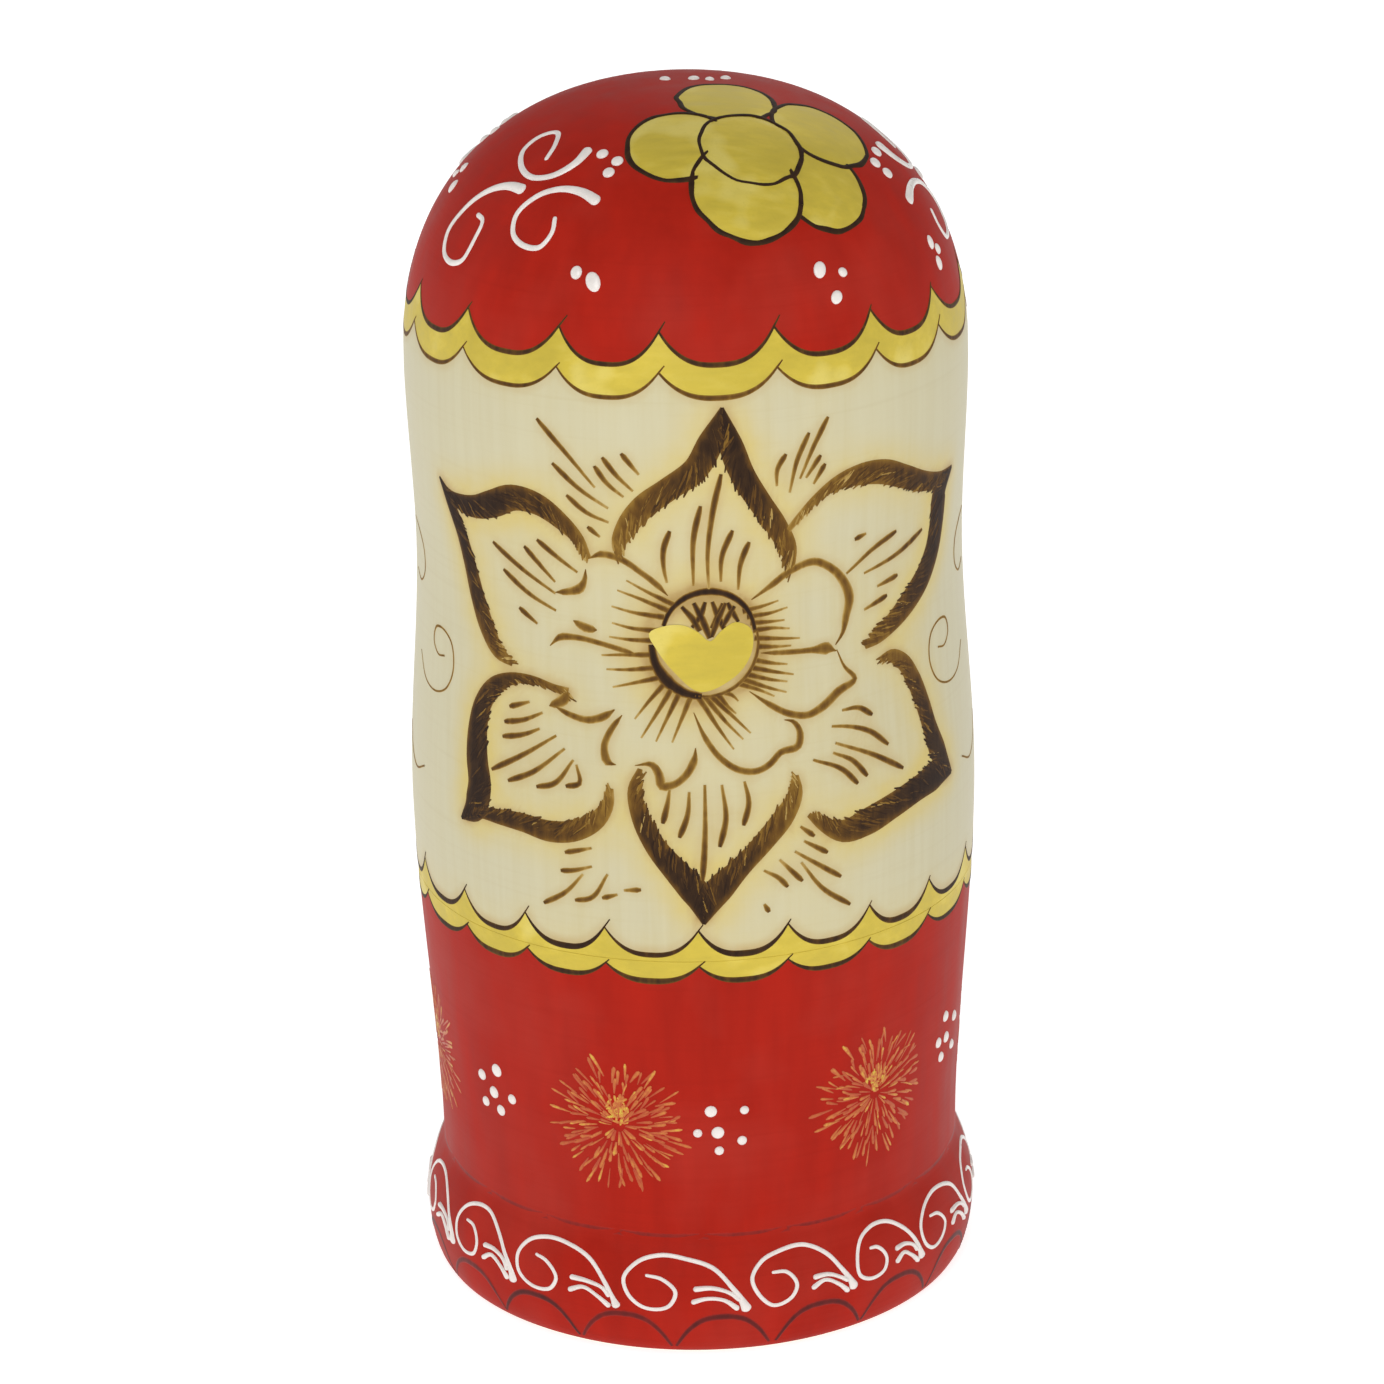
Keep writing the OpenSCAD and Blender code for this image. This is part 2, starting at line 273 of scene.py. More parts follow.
class NEST_PG_colours(bpy.types.PropertyGroup):
    """Colours of the paints and the wood."""
    red: paint("Red", "Red paint of the scarf and the skirt", 166, 31, 17)
    cream: paint("Cream", "Lacquered pale wood", 199, 192, 160)
    gold: paint("Gold", "Gold paint", 207, 184, 60)
    dry_gold: paint("Dry gold", "Dry-brushed gold over red", 198, 120, 50)
    burnt: paint("Burnt", "Darkest burnt wood", 42, 28, 20)
    scorch: paint("Scorch", "Wood warmed by the burning point", 178, 142, 70)
    white: paint("White", "Raised white paint", 234, 227, 221)
    raw_wood: paint("Raw wood", "Bare wood inside", 208, 180, 136)
    skin: paint("Skin", "Face of the dolls", 233, 205, 170)
    blush: paint("Blush", "Cheeks of the dolls", 214, 112, 84)
    iris: paint("Iris", "Eyes of the dolls", 66, 104, 140)


class NEST_PG_stage(bpy.types.PropertyGroup):
    """Floor, light and camera."""
    floor_size: length("Floor", "Side of the floor", 40.0)
    floor_colour: FloatVectorProperty(
        name="Floor colour", description="Pale floor", default=(0.7, 0.7, 0.7), subtype="COLOR")
    floor_glow: FloatProperty(name="Floor glow", description="Light that the floor gives off", default=0.72)
    world_strength: FloatProperty(name="World", description="Strength of the even light", default=0.43)
    key_power: power("Key", "Power of the main soft light", 8.6)
    fill_power: power("Fill", "Power of each side light", 1.7)
    camera_place: spot("Camera", "Place of the camera", 0, -0.7232, 0.3725)
    camera_aim: spot("Aim", "Point that the camera looks at", 0, 0, 0.0979)
    camera_lens: FloatProperty(name="Lens", description="Focal length on a 36 mm sensor", default=122.7)
    camera_roll: FloatProperty(
        name="Roll", description="Turn of the camera about its own axis", default=-0.018, unit="ROTATION")


def smoothed(points, step):
    """Points along a smooth curve through the given ones, about a step apart; further columns go along."""
    p = np.asarray(points, float)
    gap = np.linalg.norm(np.diff(p[:, :2], axis=0), axis=1)
    slope = np.diff(p, axis=0) / gap[:, None]
    lean = np.empty_like(p)
    lean[0], lean[-1] = slope[0], slope[-1]
    lean[1:-1] = (slope[:-1] * gap[1:, None] + slope[1:] * gap[:-1, None]) / (gap[1:] + gap[:-1])[:, None]
    out = []
    for i, g in enumerate(gap):
        n = max(1, math.ceil(g / step))
        t = (np.arange(n) / n)[:, None]
        out.append(p[i] * (1 + 2 * t) * (1 - t) ** 2 + p[i + 1] * t * t * (3 - 2 * t)
                   + g * (lean[i] * t * (1 - t) ** 2 - lean[i + 1] * t * t * (1 - t)))
    return np.concatenate(out + [p[-1:]])


def eased(t):
    """Smooth share from 0 to 1."""
    t = np.clip(t, 0, 1)
    return t * t * (3 - 2 * t)


def wrapped(turn):
    """A turn, brought within half a turn of the back."""
    return (np.asarray(turn) + math.pi) % TURN - math.pi


class Outline:
    """A turned outline from the base to the crown, in millimetres, by its arc length."""
    # Step along the outline.
    STEP = 0.5

    def __init__(self, points):
        p = smoothed(points, self.STEP)
        self.arc = np.concatenate([[0], np.cumsum(np.linalg.norm(np.diff(p, axis=0), axis=1))])
        self.r, self.z = np.maximum(p[:, 0], 0), p[:, 1]
        along = np.gradient(p, self.arc, axis=0)
        along /= np.linalg.norm(along, axis=1, keepdims=True)
        self.nr, self.nz = along[:, 1], -along[:, 0]

    def arc_of(self, z):
        """Arc length at a height."""
        return np.interp(z, self.z, self.arc)

    def at(self, arc):
        """Radius and height at an arc length."""
        return np.interp(arc, self.arc, self.r), np.interp(arc, self.arc, self.z)

    def surface(self, turn, arc, lift):
        """Points at a turn and an arc length, lifted off the surface."""
        r = np.interp(arc, self.arc, self.r) + lift * np.interp(arc, self.arc, self.nr)
        z = np.interp(arc, self.arc, self.z) + lift * np.interp(arc, self.arc, self.nz)
        return np.stack([r * np.sin(turn), -r * np.cos(turn), z], -1)


# Rings of a CAD node that are nearer than this, in millimetres, are one; heights are told apart by the next.
RING_GAP = 0.015
NEAR = 0.01


def turned_rings(node, keep):
    """Radius and height, in millimetres, of the rings of a CAD node whose faces pass, from the lowest up."""
    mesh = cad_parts[node].data
    co = np.empty(len(mesh.vertices) * 3)
    mesh.vertices.foreach_get("co", co)
    co = co.reshape(-1, 3) / MM
    corner = np.empty(len(mesh.loops), int)
    mesh.loops.foreach_get("vertex_index", corner)
    corner = corner.reshape(-1, 3)
    tri = co[corner]
    normal = np.cross(tri[:, 1] - tri[:, 0], tri[:, 2] - tri[:, 0])
    normal /= np.maximum(np.linalg.norm(normal, axis=1, keepdims=True), 1e-12)
    middle = tri.mean(1)
    out = middle[:, :2] / np.maximum(np.linalg.norm(middle[:, :2], axis=1, keepdims=True), 1e-9)
    used = np.unique(corner[keep((normal[:, :2] * out).sum(1), normal[:, 2], middle[:, 2])])
    ring = np.unique(np.round(np.stack([co[used, 2], -np.hypot(co[used, 0], co[used, 1])], 1), 2), axis=0)
    ring = np.stack([-ring[:, 1], ring[:, 0]], 1)
    apart = np.concatenate([[True], np.linalg.norm(np.diff(ring, axis=0), axis=1) > RING_GAP])
    return ring[apart]


class Doll:
    """One doll: its nodes, its own outlines, and how the outer doll's drawing is scaled to it."""

    # How much coarser the ornament gets from doll to doll, and how far apart their random seeds are.
    COARSER = 0.32
    SEED_STEP = 101

    def __init__(self, k, outer=None):
        self.k = k
        self.name = DOLLS[k] + "_doll"
        self.solid = k == len(DOLLS) - 1
        self.top = self.name if self.solid else self.name + "_top"
        self.bottom = self.name if self.solid else self.name + "_bottom"
        low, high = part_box(self.bottom)
        self.seat = low.z / MM
        self.width = (high.x - low.x) / MM
        self.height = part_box(self.top)[1].z / MM - self.seat
        outer = outer or self
        self.across, self.upward = self.width / outer.width, self.height / outer.height
        self.scale = np.array([self.across, self.across, self.upward])
        self.rng = np.random.default_rng(drawing().seed + self.SEED_STEP * k)
        self.detail = 1 / (1 + self.COARSER * k)
        if self.solid:
            self.seam = self.seat
            self.outline = Outline(turned_rings(self.top, self.outside))
            return
        self.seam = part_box(self.top)[0].z / MM
        cup = turned_rings(self.bottom, self.outside)
        cap = turned_rings(self.top, self.outside)
        rim = cup[cup[:, 1] > self.seam - NEAR]
        self.rim_low, self.spigot = rim[0, 0], rim[1:]
        self.rim_high = cap[0, 0]
        self.cavity = turned_rings(self.top, self.inside)
        bore = turned_rings(self.bottom, lambda nr, nz, z: nr < -0.5)
        self.bore, self.floor, self.lip = bore[0, 0], bore[0, 1], bore[-1, 1]
        self.outline = Outline(np.concatenate([cup[cup[:, 1] < self.seam - NEAR], cap[1:]]))

    def outside(self, nr, nz, z):
        """Faces that look outwards, or up near the crown."""
        return (nr > 0.05) | ((nz > 0.5) & (z > self.seat + 0.8 * self.height))

    def inside(self, nr, nz, z):
        """Faces of the upper half that look inwards or down, over the joint."""
        return ((nr < -0.05) | (nz < -0.5)) & (z > self.seam + NEAR)

    def placed(self, points):
        """Points of the outer doll, in millimetres, at this doll's size and place, in metres."""
        return (np.asarray(points) * self.scale + (0, 0, self.seat)) * MM


nest = {}


def drawing():
    return bpy.context.scene.nest_drawing


def paint_film():
    """Thickness of a flat layer of paint, in millimetres."""
    return drawing().film / MM


def dolls():
    """The seven dolls, read from the CAD nodes once."""
    if not nest:
        nest["dolls"] = [Doll(0)]
        nest["dolls"] += [Doll(k, nest["dolls"][0]) for k in range(1, len(DOLLS))]
        nest["bands"] = [Bands(doll) for doll in nest["dolls"]]
    return nest["dolls"]


class Scallops:
    """A hand-painted scalloped edge: lobes that hang between cusps."""
    # How square a lobe is: 2 is a parabola, more is fuller.
    FULLNESS = 2.7

    def __init__(self, lobes, first_cusp, wobble, rng):
        jitter = rng.uniform(-1, 1, lobes) * math.radians(wobble)
        self.cusps = np.sort(wrapped(math.radians(first_cusp) + TURN / lobes * np.arange(lobes) + jitter))

    def hang(self, turn):
        """How far the edge hangs at a turn: 0 at a cusp and 1 in the middle of a lobe."""
        turn = wrapped(turn)
        ring = np.concatenate([self.cusps[-1:] - TURN, self.cusps, self.cusps[:1] + TURN])
        i = np.clip(np.searchsorted(ring, turn, "right") - 1, 0, len(ring) - 2)
        share = (turn - ring[i]) / (ring[i + 1] - ring[i])
        return 1 - np.abs(2 * share - 1) ** self.FULLNESS


class Bands:
    """The gold bands of a doll, as heights on the outer doll by turn."""
    # Height of the cusps of each edge, and how far its lobes hang under them.
    SCARF_RED = (172.0, 5.0)
    SCARF_CREAM = (166.0, 4.0)
    SKIRT_CREAM = (75.4, 4.3)
    SKIRT_RED = (69.2, 2.7)
    # How far the scarf falls towards the front, and the turn from which it falls.
    FRONT_DROP = 52.0
    FRONT_START = math.radians(95)
    # First cusp and wobble of the lobes, in degrees, and how many fewer of them each doll has.
    SCARF_LOBES = (-4.5, 1.2)
    SKIRT_LOBES = (0.2, 0.6)
    FEWER = (0, 0, 2, 4, 4, 6, 8)
    SEED_STEP = 7

    def __init__(self, doll):
        rng = np.random.default_rng(drawing().seed + self.SEED_STEP * doll.k)
        fewer = self.FEWER[doll.k]
        self.scarf = Scallops(drawing().scarf_lobes - fewer, *self.SCARF_LOBES, rng)
        self.skirt = Scallops(drawing().skirt_lobes - fewer, *self.SKIRT_LOBES, rng)

    def drop(self, turn):
        away = np.abs(wrapped(turn))
        return self.FRONT_DROP * eased((away - self.FRONT_START) / (math.pi - self.FRONT_START))

    def scarf_red(self, turn):
        return self.SCARF_RED[0] - self.SCARF_RED[1] * self.scarf.hang(turn) - self.drop(turn)

    def scarf_cream(self, turn):
        return self.SCARF_CREAM[0] - self.SCARF_CREAM[1] * self.scarf.hang(turn) - self.drop(turn)

    def skirt_cream(self, turn):
        return self.SKIRT_CREAM[0] - self.SKIRT_CREAM[1] * self.skirt.hang(turn)

    def skirt_red(self, turn):
        return self.SKIRT_RED[0] - self.SKIRT_RED[1] * self.skirt.hang(turn)


def wall_chart(turn=0.0, z=0.0, size=1.0):
    """Places flat points x, z on the outer doll's wall, about a turn and a height."""
    outline = dolls()[0].outline

    def place(flat, lift):
        around = turn + size * flat[..., 0] / DRAWING_R
        return outline.surface(around, outline.arc_of(z + size * flat[..., 1]), lift)
    return place


def dome_chart(turn=0.0, mirror=1.0, shift=0.0):
    """Places points u, v of the flat map of the dome, turned about the crown, mirrored and moved outwards."""
    outline = dolls()[0].outline

    def place(flat, lift):
        away = np.hypot(flat[..., 0], flat[..., 1]) + shift
        around = np.arctan2(mirror * flat[..., 0], -flat[..., 1]) + turn
        return outline.surface(around, outline.arc[-1] - away, lift)
    return place


class Layer:
    """Gathers strips, beads and patches that become one piece."""
    # Height of the edge of a film, and depth of the edge of a bead under the surface.
    EDGE = 0.008
    DIP = 0.02
    # Step along a bead on the outer doll, and more points near its ends, as shares of its half width.
    BEAD_STEP = 0.45
    BEAD_ENDS = np.array((0.0, 0.06, 0.25, 0.55))
    # Rings of a dot, as shares of its radius, and points round each.
    DOT_RINGS = np.array((0, 0.3, 0.6, 0.82, 0.95, 1.0))[:, None]
    DOT_POINTS = 16

    def __init__(self, doll):
        self.doll = doll
        self.points, self.faces, self.tones, self.slots, self.trace = [], [], [], [], []
        self.count = 0

    def grid(self, points, tone, slot, closed=False):
        """Adds a grid of points and its faces, closed along each row or open."""
        n, m = points.shape[:2]
        index = self.count + np.arange(n * m).reshape(n, m)
        if closed:
            index = np.concatenate([index, index[:, :1]], 1)
        quads = np.stack([index[:-1, :-1], index[1:, :-1], index[1:, 1:], index[:-1, 1:]], -1).reshape(-1, 4)
        self.points.append(points.reshape(-1, 3))
        self.faces.append(quads)
        self.tones.append(np.broadcast_to(tone, (n, m)).reshape(-1))
        self.slots.append(np.full(len(quads), slot))
        self.count += n * m

    def strip(self, chart, line, lift, tone=1.0, slot=0, across=3, relief=0.0, pale=0.0):
        """A band along x, z, width: a flat film, or a rounded bead where it has relief."""
        line = np.asarray(line, float)
        half = np.maximum(line[:, 2], 0.04) / 2
        along = np.gradient(line[:, :2], axis=0)
        along /= np.maximum(np.linalg.norm(along, axis=1, keepdims=True), 1e-9)
        left = np.stack([-along[:, 1], along[:, 0]], 1)
        u = np.linspace(-1, 1, across)
        flat = line[:, None, :2] + left[:, None, :] * (half[:, None] * u)[..., None]
        if relief:
            full = relief * np.minimum(half / half.max(), 1)[:, None] * np.sqrt(1 - u * u)
        else:
            full = np.full((len(line), across), lift)
        full = np.where(np.abs(u) > 0.999, -self.DIP if relief else self.EDGE, full)
        tone = np.asarray(tone, float)
        tone = (tone[:, None] if tone.ndim else tone) * (1 - pale * np.abs(u) ** 2.5)
        self.grid(chart(flat, full), tone, slot)

    def stroke(self, chart, points, lift, tone=1.0, slot=0, across=5, step=0.8, fade=0.0, blur=0.2, pale=0.9):
        """A burnt stroke through x, z, width, with soft edges, whose tone fades towards its end."""
        line = smoothed(points, step / self.doll.detail)
        share = np.linspace(0, 1, len(line))
        noise = self.doll.rng.uniform(-0.06, 0.06, len(line))
        soft = np.column_stack([line[:, :2], line[:, 2] + blur])
        shade = np.clip(tone - fade * share ** 2 + noise, 0, 1)
        self.strip(chart, soft, lift, shade, slot, across, pale=pale)
        middle = chart(line[:, :2], 0.0)
        reach = np.linalg.norm(np.gradient(middle, axis=0), axis=1)
        self.trace.append(np.column_stack([middle, line[:, 2].clip(0.1) * reach * tone]))
        return line

    def bead(self, chart, points, relief):
        """A raised line of paint with round ends."""
        line = smoothed(points, self.BEAD_STEP / self.doll.detail)
        d = np.concatenate([[0], np.cumsum(np.linalg.norm(np.diff(line[:, :2], axis=0), axis=1))])
        half = np.maximum(line[:, 2], 0.1) / 2
        at = np.unique(np.concatenate([d, self.BEAD_ENDS * half[0], d[-1] - self.BEAD_ENDS * half[-1]]))
        line = np.stack([np.interp(at, d, line[:, c]) for c in range(3)], 1)
        half = line[:, 2] / 2
        to_end = np.minimum(at, at[-1] - at)
        line[:, 2] *= np.sqrt(np.clip(1 - (1 - np.minimum(to_end / half, 1)) ** 2, 0.0, 1))
        self.strip(chart, line, 0, across=7 if self.doll.k < 3 else 5, relief=relief)

    def dot(self, chart, x, z, radius, relief, stretch=1.0, lean=0.0):
        """A raised dot of paint."""
        q = self.DOT_RINGS
        a = np.linspace(0, TURN, self.DOT_POINTS, endpoint=False)
        px, pz = q * radius * stretch * np.cos(a), q * radius * np.sin(a)
        cos, sin = math.cos(lean), math.sin(lean)
        flat = np.stack([x + px * cos - pz * sin, z + px * sin + pz * cos], -1)
        lift = np.where(q > 0.99, -self.DIP, relief * np.sqrt(1 - q * q)) + 0 * px
        self.grid(chart(flat, lift), 1.0, 0, closed=True)

    def patch(self, chart, outline, lift, tone=1.0, slot=0, rings=6, middle=None, rim=EDGE):
        """A flat film of paint inside a closed outline that its middle sees all of."""
        edge = np.asarray(outline, float)
        if np.sum(edge[:, 0] * np.roll(edge[:, 1], -1) - edge[:, 1] * np.roll(edge[:, 0], -1)) < 0:
            edge = edge[::-1]
        centre = edge.mean(0) if middle is None else np.asarray(middle, float)
        q = np.linspace(0, 1, rings + 1)[:, None, None]
        flat = centre + (edge - centre) * q
        high = np.where(q[..., 0] > 0.999, rim, lift) + np.zeros(flat.shape[:2])
        self.grid(chart(flat, high), tone(flat) if callable(tone) else tone, slot, closed=True)

    def piece(self, name, body, finishes, record_slot):
        """Makes the piece, which rides on a body."""
        mesh = bpy.data.meshes.new(name)
        points = self.doll.placed(np.concatenate(self.points))
        mesh.from_pydata(points.tolist(), [], np.concatenate(self.faces).tolist())
        slots, tones = np.concatenate(self.slots), np.concatenate(self.tones)
        finished(name, mesh, body, finishes, slots, tones)


def both_halves(doll, top, low, kind, finishes, record_slot):
    """Makes the pieces of the two halves of a doll, or the one piece of the solid doll."""
    top.piece(doll.top + kind, doll.top, finishes, record_slot)
    if not doll.solid:
        low.piece(doll.bottom + kind, doll.bottom, finishes, record_slot)


def closed_curve(points, step):
    """A smooth closed outline through the points."""
    p = [tuple(q) for q in points]
    around = smoothed(p[-3:] + p + p[:3], step)
    first, last = np.flatnonzero(np.linalg.norm(around - p[0], axis=1) < 1e-6)
    return around[first:last]


def circle(x, z, radius, start, end, step):
    """Points of an arc, in degrees from the right and anticlockwise."""
    a = np.radians(np.linspace(start, end, max(4, int(abs(end - start) / step))))
    return np.stack([x + radius * np.cos(a), z + radius * np.sin(a)], 1)


def finished(name, mesh, body, finishes, slots, tones=None):
    """Gives a mesh its finishes and links it as a piece that rides on a body."""
    for finish in finishes:
        mesh.materials.append(bpy.data.materials[finish])
    mesh.polygons.foreach_set("material_index", np.asarray(slots, np.int32))
    if tones is not None:
        mesh.attributes.new("tone", "FLOAT", "POINT").data.foreach_set("value", np.asarray(tones, np.float32))
    mesh.shade_smooth()
    mesh.update()
    mesh.validate()
    piece = bpy.data.objects.new(name, mesh)
    bpy.context.scene.collection.objects.link(piece)
    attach(piece, body)
    return piece


class Finish:
    """A procedural finish on the piece's own coordinates."""
    NOISE_ROUGHNESS = 0.55

    def __init__(self, name, roughness, metallic=0.0, coat=0.0, coat_roughness=0.2, specular=0.5):
        self.material = bpy.data.materials.new(name)
        self.material.use_nodes = True
        self.tree = self.material.node_tree
        self.tree.nodes.clear()
        out = self.tree.nodes.new("ShaderNodeOutputMaterial")
        self.shader = self.tree.nodes.new("ShaderNodeBsdfPrincipled")
        self.tree.links.new(self.shader.outputs[0], out.inputs[0])
        for socket, value in (("Roughness", roughness), ("Metallic", metallic), ("Coat Weight", coat),
                              ("Coat Roughness", coat_roughness), ("Specular IOR Level", specular)):
            self.shader.inputs[socket].default_value = value
        self.where = self.tree.nodes.new("ShaderNodeTexCoord")
        self.bumps = None

    def link(self, source, target):
        self.tree.links.new(source, target)

    def grain(self, stretch, scale, detail, distortion=0.0):
        """Noise that is stretched along the axes; the scale is in features per metre."""
        mapping = self.tree.nodes.new("ShaderNodeMapping")
        mapping.inputs["Scale"].default_value = stretch
        noise = self.tree.nodes.new("ShaderNodeTexNoise")
        for socket, value in (("Scale", scale), ("Detail", detail), ("Roughness", self.NOISE_ROUGHNESS),
                              ("Distortion", distortion)):
            noise.inputs[socket].default_value = value
        self.link(self.where.outputs["Object"], mapping.inputs["Vector"])
        self.link(mapping.outputs["Vector"], noise.inputs["Vector"])
        return noise.outputs[0]

    def attribute(self, name):
        node = self.tree.nodes.new("ShaderNodeAttribute")
        node.attribute_name = name
        return node.outputs["Fac"]

    def ramp(self, factor, *stops):
        """Colour ramp of place, colour."""
        node = self.tree.nodes.new("ShaderNodeValToRGB")
        while len(node.color_ramp.elements) < len(stops):
            node.color_ramp.elements.new(0.5)
        for element, (place, colour) in zip(node.color_ramp.elements, stops):
            element.position = place
            element.color = (*colour, 1)
        self.link(factor, node.inputs["Fac"])
        return node.outputs["Color"]

    def level(self, factor, low, high, to_low=0.0, to_high=1.0):
        """Maps a value from one range to another."""
        node = self.tree.nodes.new("ShaderNodeMapRange")
        for i, value in enumerate((low, high, to_low, to_high)):
            node.inputs[i + 1].default_value = value
        self.link(factor, node.inputs[0])
        return node.outputs[0]

    def mix(self, factor, shade, colour):
        """A shade that gives way to a colour."""
        node = self.tree.nodes.new("ShaderNodeMix")
        node.data_type = "RGBA"
        self.link(factor, node.inputs[0])
        self.link(shade, node.inputs[6])
        node.inputs[7].default_value = (*colour, 1)
        return node.outputs[2]

    def math(self, operation, a, b):
        node = self.tree.nodes.new("ShaderNodeMath")
        node.operation = operation
        self.link(a, node.inputs[0])
        self.link(b, node.inputs[1])
        return node.outputs[0]

    def bump(self, height, depth, strength):
        node = self.tree.nodes.new("ShaderNodeBump")
        node.inputs["Strength"].default_value = strength
        node.inputs["Distance"].default_value = depth
        self.link(height, node.inputs["Height"])
        if self.bumps:
            self.link(self.bumps, node.inputs["Normal"])
        self.bumps = node.outputs["Normal"]
        self.link(self.bumps, self.shader.inputs["Normal"])

    def colour(self, socket):
        self.link(socket, self.shader.inputs["Base Color"])

    def rough(self, socket):
        self.link(socket, self.shader.inputs["Roughness"])


def toned(colour, factor):
    """A colour made lighter or darker."""
    return tuple(min(1.0, c * factor) for c in colour)


def blended(a, b, share):
    """A colour between two."""
    return tuple(x + (y - x) * share for x, y in zip(a, b))


def make_finishes():
    """Makes every paint and wood finish once."""
    if "red_paint" in bpy.data.materials:
        return
    c = bpy.context.scene.nest_colours
    red, cream, gold, burnt, scorch = (tuple(v) for v in (c.red, c.cream, c.gold, c.burnt, c.scorch))

    f = Finish("red_paint", 0.5, specular=0.07)
    brush = f.grain((1, 1, 0.16), 230, 5)
    patches = f.grain((1, 1, 1), 45, 3)
    rings = f.grain((0.03, 0.03, 1), 900, 3)
    shade = f.ramp(brush, (0.25, toned(red, 0.86)), (0.75, toned(red, 1.1)))
    faded = blended(toned(red, 1.05), (0.5, 0.2, 0.16), 0.16)
    shade = f.mix(f.level(patches, 0.45, 0.75, 0.0, 0.4), shade, faded)
    f.colour(f.mix(f.level(rings, 0.5, 0.8, 0.0, 0.3), shade, toned(red, 0.8)))
    f.rough(f.level(brush, 0.2, 0.8, 0.42, 0.58))
    f.bump(rings, 0.00012, 0.35)
    f.bump(brush, 0.0001, 0.25)

    f = Finish("lacquered_wood", 0.45, specular=0.25)
    fibres = f.grain((1, 1, 0.035), 700, 5)
    clouds = f.grain((1, 1, 0.5), 28, 3)
    rings = f.grain((0.02, 0.02, 1), 1100, 3)
    fibre = blended(cream, linear(186, 172, 124), 0.3)
    shade = f.ramp(fibres, (0.25, fibre), (0.6, cream), (0.85, toned(cream, 1.04)))
    shade = f.mix(f.level(clouds, 0.4, 0.75, 0.0, 0.5), shade, linear(205, 197, 160))
    shade = f.mix(f.level(rings, 0.55, 0.85, 0.0, 0.14), shade, linear(170, 150, 98))
    uneven = f.level(f.grain((1, 1, 1), 260, 4), 0.2, 0.75, 0.7, 1.2)
    warm = f.math("MULTIPLY", f.attribute("warmth"), uneven)
    brown = f.math("MULTIPLY", f.attribute("scorch"), uneven)
    shade = f.mix(f.level(warm, 0.04, 0.62), shade, linear(204, 184, 112))
    shade = f.mix(f.level(brown, 0.05, 0.7), shade, blended(cream, scorch, 0.75))
    f.colour(f.mix(f.level(brown, 0.5, 1.0), shade, toned(scorch, 0.75)))
    f.rough(f.level(fibres, 0.2, 0.8, 0.36, 0.5))
    f.bump(rings, 0.0001, 0.3)
    f.bump(fibres, 0.00008, 0.25)

    f = Finish("brushed_gold", 0.45, metallic=0.25)
    brush = f.grain((0.25, 1, 1), 620, 4)
    fine = f.grain((1, 1, 1), 1600, 2)
    pools_shade_and_sheen = f.grain((1, 1, 1), 85, 2)
    bright = blended(gold, linear(228, 210, 104), 0.4)
    shade = f.ramp(brush, (0.25, toned(gold, 0.86)), (0.55, gold), (0.8, bright))
    # Broad random patches of darker and paler gold: uneven paint, and also painted shade and painted
    # highlights of the metal.
    shade = f.mix(f.level(pools_shade_and_sheen, 0.42, 0.62, 0.0, 0.45), shade, toned(gold, 0.76))
    shade = f.mix(f.level(pools_shade_and_sheen, 0.44, 0.34, 0.0, 0.6), shade, linear(222, 206, 112))
    f.colour(f.mix(f.level(fine, 0.55, 0.8, 0.0, 0.2), shade, toned(gold, 0.7)))
    f.rough(f.level(brush, 0.2, 0.8, 0.42, 0.58))
    f.bump(brush, 0.00012, 0.3)
    f.bump(fine, 0.00004, 0.3)

    f = Finish("dry_gold", 0.45, metallic=0.3)
    tone = f.attribute("tone")
    speck = f.grain((1, 1, 1), 1500, 3)
    worn = f.math("MULTIPLY", tone, f.level(speck, 0.3, 0.6, 0.45, 1.1))
    dry = tuple(c.dry_gold)
    f.colour(f.ramp(worn, (0.02, blended(red, dry, 0.12)), (0.5, dry), (1.0, toned(gold, 1.02))))
    f.bump(speck, 0.00004, 0.3)

    f = Finish("burnt_wood", 0.55, specular=0.08)
    tone = f.attribute("tone")
    fibres = f.grain((1, 1, 0.3), 900, 4)
    dark = f.math("ADD", tone, f.level(fibres, 0.2, 0.8, -0.14, 0.14))
    browns = ((0.02, linear(186, 158, 94)), (0.25, linear(140, 106, 44)), (0.5, linear(100, 69, 28)))
    f.colour(f.ramp(dark, *browns, (0.75, linear(60, 41, 24)), (0.98, burnt)))
    f.bump(fibres, 0.0001, 0.5)

    # Dark red of the burnt arcs of the foot, and of the line of painted shade round the ankle.
    f = Finish("burnt_red_and_shade", 0.5, specular=0.2)
    fibres = f.grain((1, 1, 0.3), 900, 4)
    dark = f.math("ADD", f.attribute("tone"), f.level(fibres, 0.2, 0.8, -0.14, 0.14))
    f.colour(f.ramp(dark, (0.0, red), (0.45, linear(112, 20, 14)), (0.9, linear(70, 14, 12))))
    f.bump(fibres, 0.0001, 0.5)

    f = Finish("white_relief", 0.3, coat=0.2, coat_roughness=0.15)
    drift = f.grain((1, 1, 1), 500, 3)
    f.colour(f.ramp(drift, (0.3, toned(tuple(c.white), 0.9)), (0.65, tuple(c.white))))
    f.rough(f.level(drift, 0.3, 0.7, 0.22, 0.38))
    f.bump(drift, 0.0001, 0.3)

